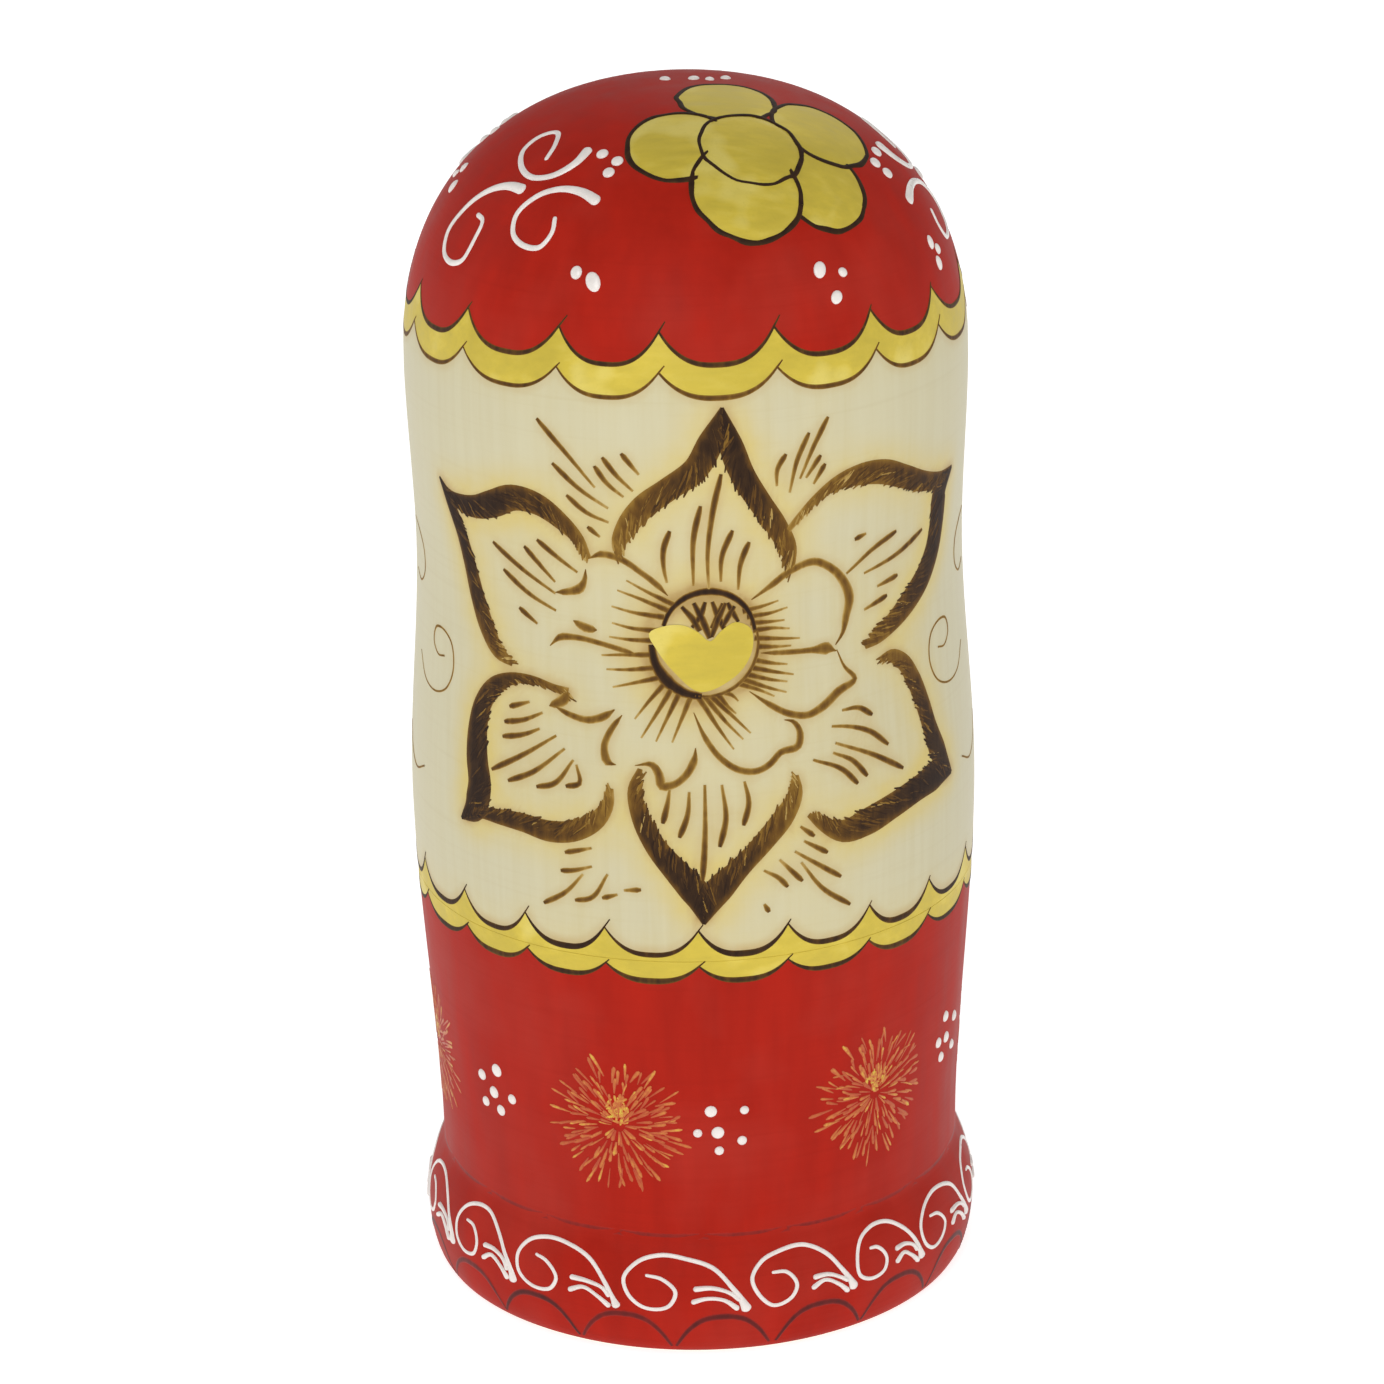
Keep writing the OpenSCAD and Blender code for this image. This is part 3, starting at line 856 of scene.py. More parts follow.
    f = Finish("raw_wood", 0.62, specular=0.35)
    raw = tuple(c.raw_wood)
    fibres = f.grain((1, 1, 0.03), 800, 6)
    tool = f.grain((0.01, 0.01, 1), 1500, 2)
    year = f.grain((1, 1, 0.08), 90, 3, distortion=1.0)
    shade = f.ramp(fibres, (0.2, toned(raw, 0.78)), (0.5, raw), (0.85, toned(raw, 1.1)))
    shade = f.mix(f.level(year, 0.5, 0.62, 0.0, 0.35), shade, toned(raw, 0.72))
    f.colour(f.mix(f.level(tool, 0.5, 0.75, 0.0, 0.3), shade, toned(raw, 0.8)))
    f.rough(f.level(fibres, 0.2, 0.8, 0.55, 0.72))
    f.bump(tool, 0.00025, 0.6)
    f.bump(fibres, 0.0001, 0.35)

    f = Finish("skin_paint", 0.42, coat=0.15, coat_roughness=0.3)
    skin = tuple(c.skin)
    fibres = f.grain((1, 1, 0.08), 500, 4)
    shade = f.ramp(fibres, (0.25, toned(skin, 0.94)), (0.7, toned(skin, 1.03)))
    f.colour(f.mix(f.level(f.attribute("tone"), 0.0, 1.0, 0.0, 0.85), shade, tuple(c.blush)))
    f.bump(fibres, 0.00006, 0.3)

    for name, colour, scale in (("iris_paint", tuple(c.iris), 2200), ("lip_paint", toned(red, 0.95), 900),
                                ("pupil_paint", toned(burnt, 0.5), 900)):
        f = Finish(name, 0.3, coat=0.3, coat_roughness=0.15)
        drift = f.grain((1, 1, 1), scale, 3)
        f.colour(f.ramp(drift, (0.3, toned(colour, 0.75)), (0.7, toned(colour, 1.15))))
        f.bump(drift, 0.00004, 0.3)


class Shell:
    """Rows of a turned piece, from one pole round to the other, with a finish for each gap."""

    def __init__(self, turns):
        self.turns, self.rows, self.slots = turns, [], []

    def ring(self, r, z, slot):
        """A row of one radius and height."""
        full = np.ones(len(self.turns))
        self.rows.append((r * full, z * full))
        self.slots.append(slot)

    def zone(self, outline, low, high, count, slot):
        """Rows from one arc length to another, by column, after the first."""
        for share in np.arange(1, count + 1) / count:
            self.rows.append(outline.at(low + (high - low) * share))
            self.slots.append(slot)

    def mesh(self, name):
        """The mesh of the rows, and the slot of each of its faces."""
        points, index, count = [], [], 0
        for r, z in self.rows:
            if r.max() < 1e-3:
                points.append(np.array([[0, 0, z.mean()]]))
                index.append(np.full(len(self.turns), count))
                count += 1
            else:
                points.append(np.stack([r * np.sin(self.turns), -r * np.cos(self.turns), z], 1))
                index.append(count + np.arange(len(self.turns)))
                count += len(self.turns)
        faces, slots = [], []
        for i, slot in enumerate(self.slots[1:]):
            a, b = index[i], index[i + 1]
            quads = np.stack([a, np.roll(a, -1), np.roll(b, -1), b], 1)
            if a[0] == a[1]:
                quads = quads[:, [0, 2, 3]]
            elif b[0] == b[1]:
                quads = quads[:, [0, 1, 2]]
            faces += quads.tolist()
            slots += [slot] * len(quads)
        mesh = bpy.data.meshes.new(name)
        mesh.from_pydata((np.concatenate(points) * MM).tolist(), [], faces)
        return mesh, slots


class NEST_OT_turned_halves(bpy.types.Operator):
    """Turn the two halves of each doll, with the painted zones outside and bare wood inside"""
    bl_idname = "nest.turned_halves"
    bl_label = "Turned Halves"
    FINISHES = ("raw_wood", "red_paint", "brushed_gold", "lacquered_wood")
    RAW, RED, GOLD, CREAM = range(4)
    # Faces that meet at more than this angle have a sharp edge.
    SHARP = math.radians(38)
    # Bevel of the joint line in the CAD, and the finer one that its painted edges keep.
    CAD_BEVEL, SEAM_BEVEL = 0.2, 0.07
    FEWEST_COLUMNS, FEWEST_ROWS = 96, 2
    # Rows of each zone on the outer doll, from the skirt up, and of the bore.
    SKIRT_ROWS, BAND_ROWS, CHEST_ROWS, EDGE_ROWS, SCARF_ROWS, BORE_ROWS = 66, 4, 88, 6, 58, 24
    # Radii of the rings of the base and of the floor, as shares.
    BASE_SHARES = (0, 0.3, 0.6, 0.85, 0.98, 1)
    FLOOR_SHARES = (0.9, 0.6, 0.3, 0)
    # Step of the dome inside an upper half, and the radius under which a ring is its pole.
    DOME_STEP, POLE_R = 3.0, 0.02

    def columns(self, doll, bands):
        """Turns of the columns, with one on each cusp of the scallops."""
        n = max(self.FEWEST_COLUMNS, int(drawing().columns * doll.detail ** 0.9) // 4 * 4)
        turns = np.linspace(-math.pi, math.pi, n, endpoint=False)
        free = np.ones(n, bool)
        for cusp in np.concatenate([bands.scarf.cusps, bands.skirt.cusps]):
            i = int(np.argmin(np.abs(turns - cusp) + 10 * ~free))
            turns[i], free[i] = cusp, False
        return np.sort(turns)

    def rows(self, doll, count):
        """Rows of a zone that has this many of them on the outer doll."""
        return max(self.FEWEST_ROWS, round(count * doll.detail ** 0.8))

    def arcs(self, doll, heights):
        """Arc lengths on a doll's outline of heights on the outer one."""
        return doll.outline.arc_of(doll.seat + heights * doll.upward)

    def fuller(self, doll):
        """How much wider the edges of the joint line are than in the CAD."""
        return (self.CAD_BEVEL - self.SEAM_BEVEL) * doll.across

    def cup(self, doll, bands, turns, shell):
        """The base and the red skirt, up to its gold band."""
        for share in self.BASE_SHARES:
            shell.ring(doll.outline.r[0] * share, doll.seat, self.RAW)
        low = self.arcs(doll, bands.skirt_red(turns))
        shell.zone(doll.outline, 0 * turns, low, self.rows(doll, self.SKIRT_ROWS), self.RED)
        return low

    def cap(self, doll, bands, turns, shell, low):
        """The gold over the joint, the cream wood, the gold edge of the scarf and its red dome."""
        zones = (
            (bands.skirt_cream, self.BAND_ROWS, self.GOLD),
            (bands.scarf_cream, self.CHEST_ROWS, self.CREAM),
            (bands.scarf_red, self.EDGE_ROWS, self.GOLD),
        )
        for edge, count, slot in zones:
            high = self.arcs(doll, edge(turns))
            shell.zone(doll.outline, low, high, self.rows(doll, count), slot)
            low = high
        crown = doll.outline.arc[-1] + 0 * turns
        shell.zone(doll.outline, low, crown, self.rows(doll, self.SCARF_ROWS), self.RED)

    def bottom_half(self, doll, bands, turns):
        """The outside, the spigot, the bore and the floor of a lower half."""
        shell = Shell(turns)
        low = self.cup(doll, bands, turns, shell)
        rim = doll.outline.arc_of(doll.seam - self.SEAM_BEVEL * doll.upward) + 0 * turns
        shell.zone(doll.outline, low, rim, self.rows(doll, self.BAND_ROWS), self.GOLD)
        shell.ring(doll.rim_low + self.fuller(doll), doll.seam, self.GOLD)
        for r, z in doll.spigot:
            shell.ring(r, z, self.RAW)
        for share in np.linspace(0, 1, self.rows(doll, self.BORE_ROWS)):
            shell.ring(doll.bore, doll.lip + (doll.floor - doll.lip) * share, self.RAW)
        for share in self.FLOOR_SHARES:
            shell.ring(doll.bore * share, doll.floor, self.RAW)
        return shell

    def top_half(self, doll, bands, turns):
        """The hollow, the rim and the outside of an upper half."""
        shell = Shell(turns)
        straight, dome = doll.cavity[:2], smoothed(doll.cavity[2:], self.DOME_STEP)
        for r, z in dome[::-1]:
            shell.ring(r if r > self.POLE_R else 0.0, z, self.RAW)
        for r, z in straight[::-1]:
            shell.ring(r, z, self.RAW)
        shell.ring(doll.rim_high - 0.5 * (doll.rim_high - straight[0][0]), doll.seam, self.RAW)
        shell.ring(doll.rim_high + self.fuller(doll), doll.seam, self.RAW)
        rim = doll.outline.arc_of(doll.seam + self.SEAM_BEVEL * doll.upward) + 0 * turns
        shell.zone(doll.outline, rim, rim, 1, self.GOLD)
        self.cap(doll, bands, turns, shell, rim)
        return shell

    def keep(self, shell, node, slot):
        """Makes a shell a piece, in the place of its CAD node."""
        mesh, slots = shell.mesh(node + "_shell")
        for name in ("scorch", "warmth"):
            mesh.attributes.new(name, "FLOAT", "POINT")
        piece = finished(node + "_shell", mesh, node, self.FINISHES, slots)
        mesh.set_sharp_from_angle(angle=self.SHARP)
        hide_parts(node)
        nest[node] = piece

    def execute(self, context):
        make_finishes()
        for doll in dolls():
            bands = nest["bands"][doll.k]
            turns = self.columns(doll, bands)
            if doll.solid:
                shell = Shell(turns)
                low = self.cup(doll, bands, turns, shell)
                self.cap(doll, bands, turns, shell, low)
                self.keep(shell, doll.name, "red_lacquer")
            else:
                self.keep(self.bottom_half(doll, bands, turns), doll.bottom, "red_lacquer")
                self.keep(self.top_half(doll, bands, turns), doll.top, "cream_wood")
        return {"FINISHED"}


class NEST_OT_burnt_drawing(bpy.types.Operator):
    """Burn the flower, the scallops and the arcs of the foot into each doll"""
    bl_idname = "nest.burnt_drawing"
    bl_label = "Burnt Drawing"
    FINISHES = ("burnt_wood", "burnt_red_and_shade")
    # Turn of the first arc of the foot, and height of the hollow round the ankle over it, along which a line
    # of painted shade runs.
    FOOT_ARC_TURN = math.radians(4.2)
    ANKLE_Z = 20.4
    # How far the browning and the warm tint spread about a stroke.
    SCORCH_REACH = 0.85
    WARMTH_REACH = 3.2
    # Longest short stroke on a petal's edge, and how much paler the edge gets towards its base.
    HATCH_REACH = 3.2
    EDGE_FADE = 0.62
    # Where the upper rays start, as a share of the radius of the flower's disc; the others start at its edge.
    RAY_START = 0.93
    # Thickness of the ring about that disc, over the rays, as a multiple of a film.
    RING_FILM = 2.05
    # Points along one lobe of a scalloped edge.
    LOBE_POINTS = 17
    # Size and height of the small flower on the front.
    SMALL_SIZE, SMALL_Z = 0.36, 93.0
    # Cells round and up, and height, of the field in which the browning spreads.
    CELLS_TURN, CELLS_Z, FIELD_Z = 720, 400, 200.0

    def film(self, doll):
        """A thickness that differs from stroke to stroke, so that crossing strokes don't share a surface."""
        return paint_film() * doll.rng.uniform(0.8, 1.9)

    def petal(self, layer, chart, edge, inside, dark):
        """A broad petal edge, smooth outside, that short slanting strokes fray on the inside of the petal."""
        doll, rng = layer.doll, layer.doll.rng
        fade = self.EDGE_FADE * dark
        line = layer.stroke(chart, edge, paint_film() * 0.7, dark, across=9, step=1.0, fade=fade, pale=0.45)
        line = smoothed(line, 0.3)
        along = np.gradient(line[:, :2], axis=0)
        along /= np.linalg.norm(along, axis=1, keepdims=True)
        count = int(len(line) * 1.1 * doll.detail)
        for i in np.sort(rng.integers(1, len(line) - 1, count)):
            share, width = i / len(line), line[i, 2]
            if width < 1:
                continue
            inward = np.array([-along[i, 1], along[i, 0]])
            inward *= np.sign(inward @ (inside - line[i, :2]))
            angle = np.clip(rng.normal(0.6, 0.14), 0.25, 1.0)
            heading = along[i] * math.cos(angle) + inward * math.sin(angle)
            start = line[i, :2] + inward * width * rng.uniform(-0.35, 0.3)
            to_edge = 0.5 * width - (start - line[i, :2]) @ inward
            reach = (to_edge + rng.uniform(-0.15, 0.5)) / math.sin(angle)
            end = start + heading * min(reach, self.HATCH_REACH)
            shade = rng.choice((0.45, 0.75, 1.0), p=(0.03, 0.17, 0.8)) - self.EDGE_FADE * share ** 2
            tone = np.clip(dark * shade + rng.normal(0, 0.07), 0.12, 1)
            thick = rng.uniform(0.4, 0.85)
            hair = np.array([[*start, 0.2], [*(start + end) / 2, thick], [*end, 0.22]])
            layer.strip(chart, hair, self.film(doll), tone * np.array([1, 1, 0.9]), pale=0.08)

    def flower(self, layer):
        """The large flower on the back."""
        doll, rng = layer.doll, layer.doll.rng
        chart = wall_chart()
        for n, edge in enumerate(PETAL_EDGES):
            inside = np.concatenate([edge, PETAL_EDGES[n ^ 1]])[:, :2].mean(0)
            self.petal(layer, chart, edge, inside, PETAL_TONES[n])
        for edge in INNER_PETALS:
            line = smoothed(edge, 0.8)
            taper = np.interp(np.linspace(0, 1, len(line)), (0, 0.15, 0.85, 1), (0.15, 1, 1, 0.15))
            line[:, 2] = (line[:, 2] + 0.3) * taper
            layer.stroke(chart, line, self.film(doll), 0.45, blur=0.05)
        thin = drawing().burnt_line / MM
        for lines, bold, tone in ((VEINS, 1.0, 0.62), (SPRAYS, 0.92, 0.56)):
            for points in lines:
                line = smoothed(points, 0.8)
                share = np.linspace(0, 1, len(line))
                width = thin * bold * np.interp(share, (0, 0.08, 0.2, 0.5, 1), (0.45, 0.85, 1, 0.8, 0.3))
                layer.stroke(chart, np.column_stack([line, width]), self.film(doll), tone, fade=0.4)
        x, z, r = HEART_DISC
        for x0, z0, x1, z1 in HEART_RAYS:
            out = (self.RAY_START if z0 > z else 1) * r / math.hypot(x0 - x, z0 - z)
            x0, z0 = x + (x0 - x) * out, z + (z0 - z) * out
            bend = rng.uniform(-0.3, 0.3)
            ray = ((x0, z0, 0.95), (0.7 * x0 + 0.3 * x1, 0.7 * z0 + 0.3 * z1 + 0.6 * bend, 0.7),
                   ((x0 + x1) / 2, (z0 + z1) / 2 + bend, 0.5), (x1, z1, 0.12))
            layer.stroke(chart, ray, self.film(doll), 0.56, fade=0.46)
        for *place, start, end, width, tone in HEART_ARCS:
            arc = circle(*place, start, end, 12)
            taper = np.interp(np.linspace(0, 1, len(arc)), (0, 0.5, 1), (0.5, 1, 0.5))
            layer.stroke(chart, np.column_stack([arc, width * taper]), paint_film() * self.RING_FILM, tone)
        for line in SCRIBBLE:
            layer.stroke(chart, line, self.film(doll), 0.75)
        for radius, share in ((0.85, 0.16), (1.1, 0.3)):
            shadow = circle(x, z, radius * r, 0, 360, 6)
            weight = share * radius * r * math.radians(6) * 0.35 * r
            layer.trace.append(np.column_stack([chart(shadow, 0.0), np.full(len(shadow), weight)]))

    def scallops(self, layer, scallops, height, even, swell, dark, pale=0.3):
        """A line along each lobe of a scalloped edge, thin where two lobes meet."""
        doll, rng = layer.doll, layer.doll.rng
        thin = drawing().burnt_line / MM
        chart = wall_chart()
        cusps = np.append(scallops.cusps, scallops.cusps[0] + TURN)
        for low, high in zip(cusps[:-1], cusps[1:]):
            turn = np.linspace(low + 1e-4, high - 1e-4, self.LOBE_POINTS)
            bow = np.sin(np.linspace(0, math.pi, self.LOBE_POINTS))
            width = thin * (even + swell * bow) * rng.uniform(0.9, 1.15)
            line = np.column_stack([turn * DRAWING_R, height(turn), width])
            over = line[-1] + (line[-1] - line[-2]) * rng.uniform(0.3, 1.1)
            line = np.vstack([line, [over[0], over[1], 0.2]])
            layer.stroke(chart, line, self.film(doll), dark * rng.uniform(0.9, 1.1), blur=0.0, pale=pale)

    def flower_small(self, layer):
        """A smaller flower under the chin, on the front."""
        x, z, _ = HEART_DISC
        size, doll = self.SMALL_SIZE, layer.doll
        chart = wall_chart(FRONT - size * x / DRAWING_R, self.SMALL_Z - size * z, size)
        for edge in PETAL_EDGES:
            layer.stroke(chart, edge, self.film(doll), 0.85, step=2.5, fade=0.4)
        for points in VEINS[::2]:
            line = np.column_stack([points, np.linspace(2.2, 0.8, len(points))])
            layer.stroke(chart, line, self.film(doll), 0.6, step=2.5)
        ring = circle(x, z, 9, 0, 360, 20)
        line = np.column_stack([ring, np.full(len(ring), 2.2)])
        layer.stroke(chart, line, self.film(doll), 0.8, step=2.5)

    def foot(self, layer):
        """Arcs round the bottom of the foot, and a line of painted shade in the hollow round the ankle over
        them.
        """
        doll, rng = layer.doll, layer.doll.rng
        count = drawing().foot_arcs
        pitch = TURN * DRAWING_R / count
        share = np.linspace(-1, 1, 11)
        z = 1.5 + 5.8 * (1 - np.abs(share) ** 2.7)
        width = 0.4 + 0.6 * (1 - share ** 2)
        for i in range(count):
            x = self.FOOT_ARC_TURN * DRAWING_R + pitch * i + rng.uniform(-0.4, 0.4)
            arch = np.column_stack([x + 0.48 * pitch * share, z, width])
            layer.stroke(wall_chart(), arch, self.film(doll), rng.uniform(0.6, 0.9), slot=1)
        # Painted shade: a soft dark red line all round the hollow of the ankle, darkest in its middle and
        # fading to the red paint at its edges.
        x = DRAWING_R * np.linspace(-math.pi, math.pi, int(240 * doll.detail))
        crease_shade = np.column_stack([x, np.full(len(x), self.ANKLE_Z), np.full(len(x), 1.1)])
        layer.strip(wall_chart(), crease_shade, paint_film() * 0.7, 0.3, slot=1, across=7, pale=1.0)

    def scorch(self, shell, doll, trace):
        """Writes how much the strokes have browned the wood about them."""
        wide, tall = TURN * DRAWING_R / self.CELLS_TURN, self.FIELD_Z / self.CELLS_Z
        turn = np.arctan2(trace[:, 0], -trace[:, 1])
        i = ((turn + math.pi) / TURN * self.CELLS_TURN).astype(int) % self.CELLS_TURN
        j = np.clip(trace[:, 2] / self.FIELD_Z * self.CELLS_Z, 0, self.CELLS_Z - 1).astype(int)
        field = np.zeros((self.CELLS_TURN, self.CELLS_Z))
        np.add.at(field, (i, j), trace[:, 3])
        fi = np.fft.fftfreq(self.CELLS_TURN, wide)[:, None]
        fj = np.fft.rfftfreq(self.CELLS_Z, tall)[None, :]
        waves = np.fft.rfft2(field / (wide * tall))
        mesh = shell.data
        co = np.empty(len(mesh.vertices) * 3)
        mesh.vertices.foreach_get("co", co)
        co = (co.reshape(-1, 3) / MM - (0, 0, doll.seat)) / doll.scale
        a = (np.arctan2(co[:, 0], -co[:, 1]) + math.pi) / TURN * self.CELLS_TURN - 0.5
        b = np.clip(co[:, 2] / self.FIELD_Z * self.CELLS_Z - 0.5, 0, self.CELLS_Z - 1.001)
        a0, b0 = np.floor(a).astype(int), np.floor(b).astype(int)
        fa, fb = a - a0, b - b0
        for name, reach in (("scorch", self.SCORCH_REACH), ("warmth", self.WARMTH_REACH)):
            blur = np.exp(-2 * (math.pi * reach) ** 2 * (fi ** 2 + fj ** 2))
            spread = np.fft.irfft2(waves * blur, field.shape)
            value = 0
            for column, share in ((a0 % self.CELLS_TURN, 1 - fa), ((a0 + 1) % self.CELLS_TURN, fa)):
                value = value + (spread[column, b0] * (1 - fb) + spread[column, b0 + 1] * fb) * share
            amount = 1 - np.exp(-2.0 * value.clip(0))
            mesh.attributes[name].data.foreach_set("value", amount.astype(np.float32))

    def execute(self, context):
        make_finishes()
        for doll in dolls():
            bands = nest["bands"][doll.k]
            top = Layer(doll)
            self.flower(top)
            self.flower_small(top)
            for mirror in (1, -1):
                for curl in SIDE_CURLS:
                    p = np.array(curl) * (mirror, 1)
                    width = np.interp(np.linspace(0, 1, len(p)), (0, 0.3, 1), (0.25, 0.38, 0.25))
                    top.stroke(wall_chart(), np.column_stack([p, width]), self.film(doll), 0.42, blur=0.1)
            self.scallops(top, bands.scarf, bands.scarf_red, even=0.4, swell=0.5, dark=0.78)
            self.scallops(top, bands.scarf, bands.scarf_cream, even=0.36, swell=0.52, dark=0.6, pale=0.6)
            self.scallops(top, bands.skirt, bands.skirt_cream, even=0.3, swell=0.82, dark=0.82)
            dome = dome_chart()
            for n, (u, v, r) in enumerate(SCARF_PETALS + (SCARF_DISC,)):
                ring = circle(u, v, r, 0, 360, 14)
                ring += doll.rng.uniform(-0.2, 0.2, ring.shape)
                ring[-1] = ring[0]
                lift = paint_film() * (1.5 + n)
                width = doll.rng.uniform(0.75, 1.15, len(ring))
                top.stroke(dome, np.column_stack([ring, width]), lift, 0.9, blur=0, pale=0.2)
            low = top if doll.solid else Layer(doll)
            self.scallops(low, bands.skirt, bands.skirt_red, even=0.3, swell=0.76, dark=0.76)
            # The foot's burnt arcs, and a line of painted shade round the ankle.
            self.foot(low)
            both_halves(doll, top, low, "_burnt_and_shade", self.FINISHES, "burnt_line")
            self.scorch(nest[doll.top], doll, np.concatenate(top.trace))
        return {"FINISHED"}


class NEST_OT_gold_painting(bpy.types.Operator):
    """Paint the gold flower of the scarf, the gold heart and the dry-brushed bursts of the skirt"""
    bl_idname = "nest.gold_painting"
    bl_label = "Gold Painting"
    FINISHES = ("brushed_gold", "dry_gold")
    # Radius of a burst, and its rings of strokes: where they start and end, as shares of it, and how many.
    BURST_R = 12.5
    BURST_RINGS = ((0.1, 0.33, 22), (0.28, 0.54, 38), (0.46, 0.76, 52), (0.66, 1.0, 60))
    # Places along a stroke of a burst, and its width and tone there.
    ALONG, WIDTHS, TONES = np.array(((0, 0.5, 0.85, 1), (0.35, 0.8, 1, 0.4), (0.3, 0.75, 1, 0.8)))
    # Strokes in the middle of a burst, and where that lies.
    MIDDLE_STROKES, MIDDLE = 36, (0.2, 2.6)
    # Thickness of the gold heart and of its rim, over the ring about it, as multiples of a film.
    HEART_FILM, HEART_RIM = 2.3, 2.15
    # A point that sees all of the heart's outline.
    HEART_MIDDLE = (1.2, 120)

    def burst(self, layer, turn, z):
        """A burst of dry strokes about a place on the skirt."""
        doll, rng = layer.doll, layer.doll.rng
        chart = wall_chart(math.radians(turn), z)
        film = paint_film()
        for inner, outer, count in self.BURST_RINGS:
            for i in range(int(count * doll.detail)):
                a = TURN * (i + rng.uniform(-0.7, 0.7)) / (count * doll.detail)
                far = outer * rng.uniform(0.84, 1)
                r = self.BURST_R * (inner + (far - inner) * self.ALONG) * rng.uniform(0.86, 1.08)
                b = a + rng.normal(0, 0.06) * self.ALONG
                width = self.WIDTHS * rng.uniform(0.32, 0.74)
                line = np.column_stack([r * np.cos(b), r * np.sin(b), width])
                tone = rng.choice((0.26, 0.48, 0.8), p=(0.42, 0.44, 0.14)) * self.TONES
                layer.strip(chart, line, film * rng.uniform(0.8, 2.2), tone, slot=1, across=5, pale=0.7)
        for _ in range(int(self.MIDDLE_STROKES * doll.detail)):
            place = rng.normal(0, 0.9, 2) + self.MIDDLE
            tilt = rng.uniform(0, math.pi)
            reach = np.array([math.cos(tilt), math.sin(tilt)]) * rng.uniform(0.4, 1.0)
            thick = rng.uniform(0.5, 0.9)
            line = np.array([[*(place - reach), 0.25], [*place, thick], [*(place + reach), 0.25]])
            layer.strip(chart, line, film * rng.uniform(0.8, 2.4), rng.uniform(0.5, 1.0), slot=1, pale=0.1)

    def execute(self, context):
        make_finishes()
        film = paint_film()
        for doll in dolls():
            top = Layer(doll)
            dome = dome_chart()
            for n, (u, v, r) in enumerate(SCARF_PETALS + (SCARF_DISC,)):
                top.patch(dome, circle(u, v, r, 0, 355, 6), film * (1 + n), rings=8)
            heart = closed_curve(GOLD_HEART, 0.8)
            top.patch(wall_chart(), heart, film * self.HEART_FILM, rings=5, middle=self.HEART_MIDDLE,
                      rim=film * self.HEART_RIM)
            low = top if doll.solid else Layer(doll)
            for turn, z in zip(BURST_TURNS, BURST_HEIGHTS):
                self.burst(low, turn, z)
            both_halves(doll, top, low, "_gold", self.FINISHES, "gold_paint")
        return {"FINISHED"}


class NEST_OT_white_relief(bpy.types.Operator):
    """Lay the raised white scrolls and dots on the scarf, the skirt and the foot"""
    bl_idname = "nest.white_relief"
    bl_label = "White Relief"
    FINISHES = ("white_relief",)
    # Turn about the crown, side and shift outwards of each group of scrolls on the scarf.
    SCROLL_GROUPS = ((0.0, 1, 0.0), (0.8, -1, 7.0), (-1.35, 1, 4.0), (1.87, -1, 2.0))
    # How many of the scarf's dots go with each of those groups.
    GROUP_DOTS = 3
    # Width of the foot's lines, as a share of a white line.
    FOOT_LINE = 0.54

    def foot_starts(self):
        """Left ends of the foot's scrolls all round: those in sight, then even ones."""
        around = TURN * DRAWING_R
        rest = drawing().foot_scrolls - len(FOOT_STARTS) + 1
        even = np.linspace(FOOT_STARTS[-1], FOOT_STARTS[0] + around, rest + 1)
        return np.concatenate([FOOT_STARTS[:-1], even])

    def execute(self, context):
        make_finishes()
        thin, relief = drawing().white_line / MM, drawing().relief / MM
        for doll in dolls():
            rng = doll.rng
            top = Layer(doll)
            for turn, mirror, shift in self.SCROLL_GROUPS:
                chart = dome_chart(turn, mirror, shift)
                for scroll in SCARF_SCROLLS:
                    share = np.linspace(0, 1, len(scroll))
                    width = thin * np.interp(share, (0, 0.1, 0.25, 1), (1.9, 1.5, 1.05, 0.8))
                    top.bead(chart, np.column_stack([scroll, width]), relief)
                for u, v, r in SCARF_DOTS[:self.GROUP_DOTS]:
                    top.dot(chart, u, v, r, relief)
            for u, v, r in SCARF_DOTS[self.GROUP_DOTS:]:
                top.dot(dome_chart(), u, v, r * rng.uniform(0.84, 1.02), relief, stretch=rng.uniform(1, 1.35),
                        lean=rng.uniform(0, 3))
            low = top if doll.solid else Layer(doll)
            for n, turn in enumerate(DOT_TURNS):
                for x, z, r in DOT_GROUPS[n % len(DOT_GROUPS)]:
                    low.dot(wall_chart(math.radians(turn)), x, z, r * rng.uniform(0.79, 0.97), relief)
            starts = self.foot_starts()
            for start, end in zip(starts[:-1], starts[1:]):
                for stroke in FOOT_SCROLL:
                    p = np.array(stroke, float)
                    p[:, 0] = start + (p[:, 0] - FOOT_SCROLL_START) * (end - start) / FOOT_SCROLL_LENGTH
                    p[:, :2] += rng.normal(0, 0.15, (len(p), 2))
                    p[:, 2] *= self.FOOT_LINE * thin
                    low.bead(wall_chart(), p, relief)
            both_halves(doll, top, low, "_white", self.FINISHES, "white_paint")
        return {"FINISHED"}


